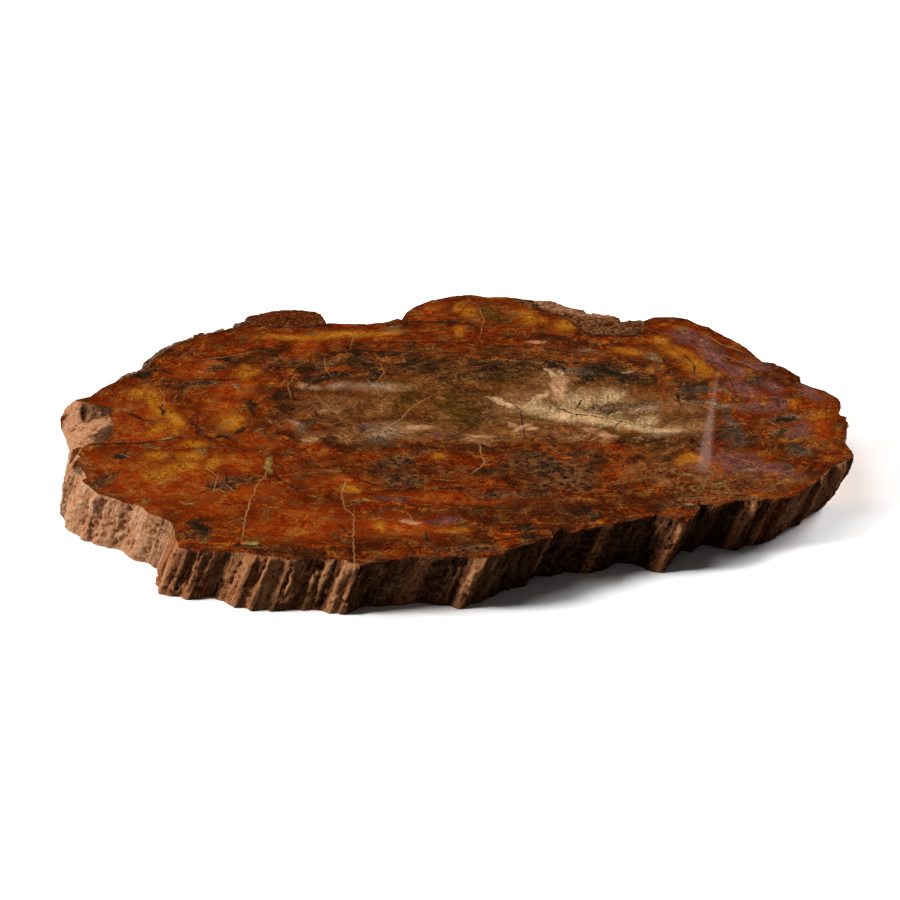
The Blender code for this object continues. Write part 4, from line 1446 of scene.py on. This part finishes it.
def bump(tree, height, strength, distance):
    feeds = {"Height": height, "Strength": strength, "Distance": distance}
    return put(tree, "ShaderNodeBump", feeds).outputs["Normal"]


def jasper_at(tree, groups, where):
    """The log place of a place in the slab, and the stone's colours there."""
    place = use(tree, groups["place"], Position=where)["Place"]
    return place, use(tree, groups["jasper"], Place=place)


def polished_material(groups):
    """The polished face, with painted shade in a ragged band along its edge."""
    made, tree, shader, where = material("polished_jasper")
    place, jasper = jasper_at(tree, groups, where)
    rim = put(tree, "ShaderNodeAttribute", attribute_name="rim_shade_mask").outputs["Fac"]
    chipped = noise_node(tree, place, 1 / 3.0, 3.0, 0.6)["Fac"]
    # Painted shade: the face darkens in a band along the polish's edge, made ragged by the noise.
    edge = ranged(tree, math_node(tree, "MULTIPLY_ADD", chipped, 0.6, rim), 0.28, 0.62, 1.0, 0.0)
    colour = mixed(tree, times(tree, edge, 0.35), jasper["Colour"], RIM_PAINTED_SHADE)
    tree.links.new(colour, shader.inputs["Base Color"])
    tree.links.new(ranged(tree, jasper["Dark"], 0.0, 1.0, 0.05, 0.15), shader.inputs["Roughness"])
    shader.inputs["IOR"].default_value = POLISH_IOR
    return made


def rough_material(groups):
    """The rough side, bumpy along the grain, with painted shade in its crevices."""
    made, tree, shader, where = material("rough_rind")
    log = use(tree, groups["place"], Position=where)
    cavity_shading = put(tree, "ShaderNodeAttribute", attribute_name="cavity_shading").outputs["Fac"]
    rind = use(tree, groups["rind"], Place=log["Place"], Depth=log["Depth"], Hollow=cavity_shading)
    tree.links.new(rind["Colour"], shader.inputs["Base Color"])
    tree.links.new(ranged(tree, rind["Fibres"], 0.8, 1.6, 0.62, 0.85), shader.inputs["Roughness"])
    tree.links.new(bump(tree, rind["Fibres"], 0.9, 1.9 * MM), shader.inputs["Normal"])
    shader.inputs["Specular IOR Level"].default_value = 0.0
    return made


def broken_material(groups):
    """The chipped edge of the polished face: the same stone, freshly broken."""
    made, tree, shader, where = material("broken_edge")
    _, jasper = jasper_at(tree, groups, where)
    grit = noise_node(tree, where, 1 / (2.0 * MM), 3.0, 0.6, flat=False)["Fac"]
    pale = ranged(tree, grit, 0.5, 0.7, 0.0, 0.45)
    tree.links.new(mixed(tree, pale, jasper["Colour"], FRESH_BREAK), shader.inputs["Base Color"])
    shader.inputs["Roughness"].default_value = 0.7
    shader.inputs["Specular IOR Level"].default_value = 0.0
    return made


def sawn_material(groups):
    """The underside: the same stone, unpolished, with the marks of the saw."""
    made, tree, shader, where = material("sawn_underside")
    place, jasper = jasper_at(tree, groups, where)
    tree.links.new(mixed(tree, 0.35, jasper["Colour"], SAW_DUST), shader.inputs["Base Color"])
    wave = put(tree, "ShaderNodeTexWave", {"Vector": place, "Scale": 0.09, "Distortion": 1.5, "Detail": 2.0})
    marks = wave.outputs["Fac"]
    tree.links.new(ranged(tree, marks, 0.0, 1.0, 0.6, 0.72), shader.inputs["Roughness"])
    tree.links.new(bump(tree, marks, 0.3, 0.25 * MM), shader.inputs["Normal"])
    return made


# Operators.


class SLAB_OT_stone(bpy.types.Operator):
    """Build the petrified wood slab"""

    bl_idname = "slab.stone"
    bl_label = "Build the slab"

    def execute(self, context):
        stone = context.scene.slab_stone
        points, faces, kinds, cavity_shading, rim_shade_mask, maps = stone_mesh(stone)
        mesh = bpy.data.meshes.new("petrified_slab_stone")
        mesh.from_pydata([(p.x * MM, (p.y - DATUM_Y) * MM, p.z * MM) for p in points], [], faces)
        mesh.update()
        groups = {"patch": patch_group(), "streaks": streak_group(), "cracks": crack_group()}
        groups["place"] = log_place_group()
        groups["jasper"] = jasper_group(stone, groups)
        groups["rind"] = rind_group(stone, groups)
        for make in (polished_material, rough_material, sawn_material, broken_material):
            mesh.materials.append(make(groups))
        mesh.polygons.foreach_set("material_index", kinds)
        mesh.polygons.foreach_set("use_smooth", [kind == SIDE for kind in kinds])
        for name, values in (("cavity_shading", cavity_shading), ("rim_shade_mask", rim_shade_mask)):
            mesh.attributes.new(name, "FLOAT", "POINT").data.foreach_set("value", values)
        layer = mesh.uv_layers.new(name="OFBake")
        layer.data.foreach_set("uv", [value for pair in maps for value in pair])
        edge_kinds = {}
        for face in mesh.polygons:
            for key in face.edge_keys:
                edge_kinds.setdefault(key, set()).add(kinds[face.index])
        mesh.edges.foreach_set("use_edge_sharp", [len(edge_kinds[edge.key]) > 1 for edge in mesh.edges])
        slab = bpy.data.objects.new("petrified_slab_stone", mesh)
        context.scene.collection.objects.link(slab)
        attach(slab, "root")
        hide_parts(NODE)
        return {"FINISHED"}


def sun_light(name, azimuth, elevation, spread, share):
    """A far light. Angles are in degrees, and the share is of the light that a level face gets."""
    data = bpy.data.lights.new(name, "SUN")
    turn, rise = math.radians(azimuth), math.radians(elevation)
    data.angle = math.radians(spread)
    data.energy = LEVEL_LIGHT * share / math.sin(rise)
    light = bpy.data.objects.new(name, data)
    away = Vector((math.cos(rise) * math.cos(turn), math.cos(rise) * math.sin(turn), math.sin(rise)))
    light.location = away
    light.rotation_euler = away.to_track_quat("Z", "Y").to_euler()
    bpy.context.scene.collection.objects.link(light)


def bare_material(name):
    """A new material with no shader: the material and its tree."""
    made = bpy.data.materials.new(name)
    made.use_nodes = True
    tree = made.node_tree
    tree.nodes.remove(tree.nodes["Principled BSDF"])
    return made, tree


def floor_material(stage):
    """Twice as pale as its colour to the camera, so that it is white there, and darker to the stone."""
    made, tree = bare_material("plain_floor")
    half = put(tree, "ShaderNodeBsdfDiffuse", {"Color": (*stage.floor_colour, 1)}).outputs[0]
    pale = put(tree, "ShaderNodeAddShader", {0: half, 1: half})
    dark = put(tree, "ShaderNodeBsdfDiffuse", {"Color": (FLOOR_SHADE, FLOOR_SHADE, FLOOR_SHADE, 1)})
    seen = put(tree, "ShaderNodeLightPath").outputs["Is Camera Ray"]
    shown = put(tree, "ShaderNodeMixShader", {0: seen, 1: dark.outputs[0], 2: pale.outputs[0]})
    tree.links.new(shown.outputs[0], tree.nodes["Material Output"].inputs["Surface"])
    return made


def floor(stage):
    """The plain floor, a hair below the slab."""
    half = stage.floor_width / 2
    mesh = bpy.data.meshes.new("floor")
    corners = [(-half, -half, 0), (half, -half, 0), (half, half, 0), (-half, half, 0)]
    mesh.from_pydata(corners, [], [(0, 1, 2, 3)])
    mesh.materials.append(floor_material(stage))
    made = bpy.data.objects.new("floor", mesh)
    made.location.z = -FLOOR_GAP
    bpy.context.scene.collection.objects.link(made)


def streak_light(stage):
    """A thin glowing wedge behind the slab, unseen itself, whose reflection is the streak on the polish."""
    made, tree = bare_material("streak_glow")
    level = put(tree, "ShaderNodeAttribute", attribute_name="glow").outputs["Fac"]
    feeds = {"Color": (*STREAK_COLOUR, 1), "Strength": times(tree, level, stage.streak)}
    glow = put(tree, "ShaderNodeEmission", feeds).outputs[0]
    tree.links.new(glow, tree.nodes["Material Output"].inputs["Surface"])
    points, levels = [], []
    for *edges, level in STREAK:
        for x, y in edges:
            shown = Vector((x, y - DATUM_Y, THICKNESS)) * MM
            mirrored = (shown - CAMERA_PLACE).normalized() * Vector((1, 1, -1))
            points.append(shown + mirrored * STREAK_REACH)
            levels.append(level)
    mesh = bpy.data.meshes.new("streak")
    mesh.from_pydata(points, [], [(row, row + 1, row + 3, row + 2) for row in range(0, len(points) - 2, 2)])
    mesh.attributes.new("glow", "FLOAT", "POINT").data.foreach_set("value", levels)
    mesh.materials.append(made)
    streak = bpy.data.objects.new("streak", mesh)
    for kind in ("camera", "diffuse", "shadow", "transmission"):
        setattr(streak, "visible_" + kind, False)
    bpy.context.scene.collection.objects.link(streak)


def studio_world(stage):
    """Pale where the camera sees it, and dim as a light, the more so in the polish."""
    world = bpy.data.worlds.new("studio")
    world.use_nodes = True
    tree = world.node_tree
    background = tree.nodes["Background"]
    path = put(tree, "ShaderNodeLightPath").outputs
    strength = ranged(tree, path["Is Glossy Ray"], 0.0, 1.0, stage.fill, POLISH_FILL * stage.fill)
    strength = math_node(tree, "MAXIMUM", strength, path["Is Camera Ray"])
    tree.links.new(strength, background.inputs["Strength"])
    background.inputs["Color"].default_value = (1, 1, 1, 1)
    return world


def photo_camera():
    """The camera at the photograph's place and angle."""
    data = bpy.data.cameras.new("camera")
    data.lens, data.sensor_width, data.clip_end = CAMERA_LENS, CAMERA_SENSOR, CAMERA_FAR
    camera = bpy.data.objects.new("camera", data)
    camera.location = CAMERA_PLACE
    camera.rotation_euler = (CAMERA_AIM - CAMERA_PLACE).to_track_quat("-Z", "Y").to_euler()
    bpy.context.scene.collection.objects.link(camera)
    return camera


class SLAB_OT_stage(bpy.types.Operator):
    """Build the floor, the lights and the camera"""

    bl_idname = "slab.stage"
    bl_label = "Build the stage"

    def execute(self, context):
        scene, stage = context.scene, context.scene.slab_stage
        floor(stage)
        for name, (azimuth, elevation, spread, share) in LAMPS.items():
            sun_light(name, azimuth, elevation, spread, getattr(stage, share))
        streak_light(stage)
        scene.world = studio_world(stage)
        scene.view_settings.view_transform = "Standard"
        scene.camera = photo_camera()
        return {"FINISHED"}


class SLAB_PT_panel(bpy.types.Panel):
    bl_idname = "SLAB_PT_panel"
    bl_label = "Petrified wood slab"
    bl_space_type = "VIEW_3D"
    bl_region_type = "UI"
    bl_category = "Slab"

    def draw(self, context):
        for settings in (context.scene.slab_stone, context.scene.slab_stage):
            box = self.layout.box()
            for name in settings.bl_rna.properties.keys():
                if name not in ("rna_type", "name"):
                    box.prop(settings, name)
        self.layout.operator(SLAB_OT_stage.bl_idname)
        self.layout.operator(SLAB_OT_stone.bl_idname)


CLASSES = (SlabStone, SlabStage, SLAB_OT_stone, SLAB_OT_stage, SLAB_PT_panel)


def register():
    for made in CLASSES:
        bpy.utils.register_class(made)
    bpy.types.Scene.slab_stone = PointerProperty(type=SlabStone)
    bpy.types.Scene.slab_stage = PointerProperty(type=SlabStage)


def unregister():
    del bpy.types.Scene.slab_stage
    del bpy.types.Scene.slab_stone
    for made in reversed(CLASSES):
        bpy.utils.unregister_class(made)


def main():
    register()
    bpy.ops.slab.stage()
    bpy.ops.slab.stone()


if __name__ == "__main__":
    main()
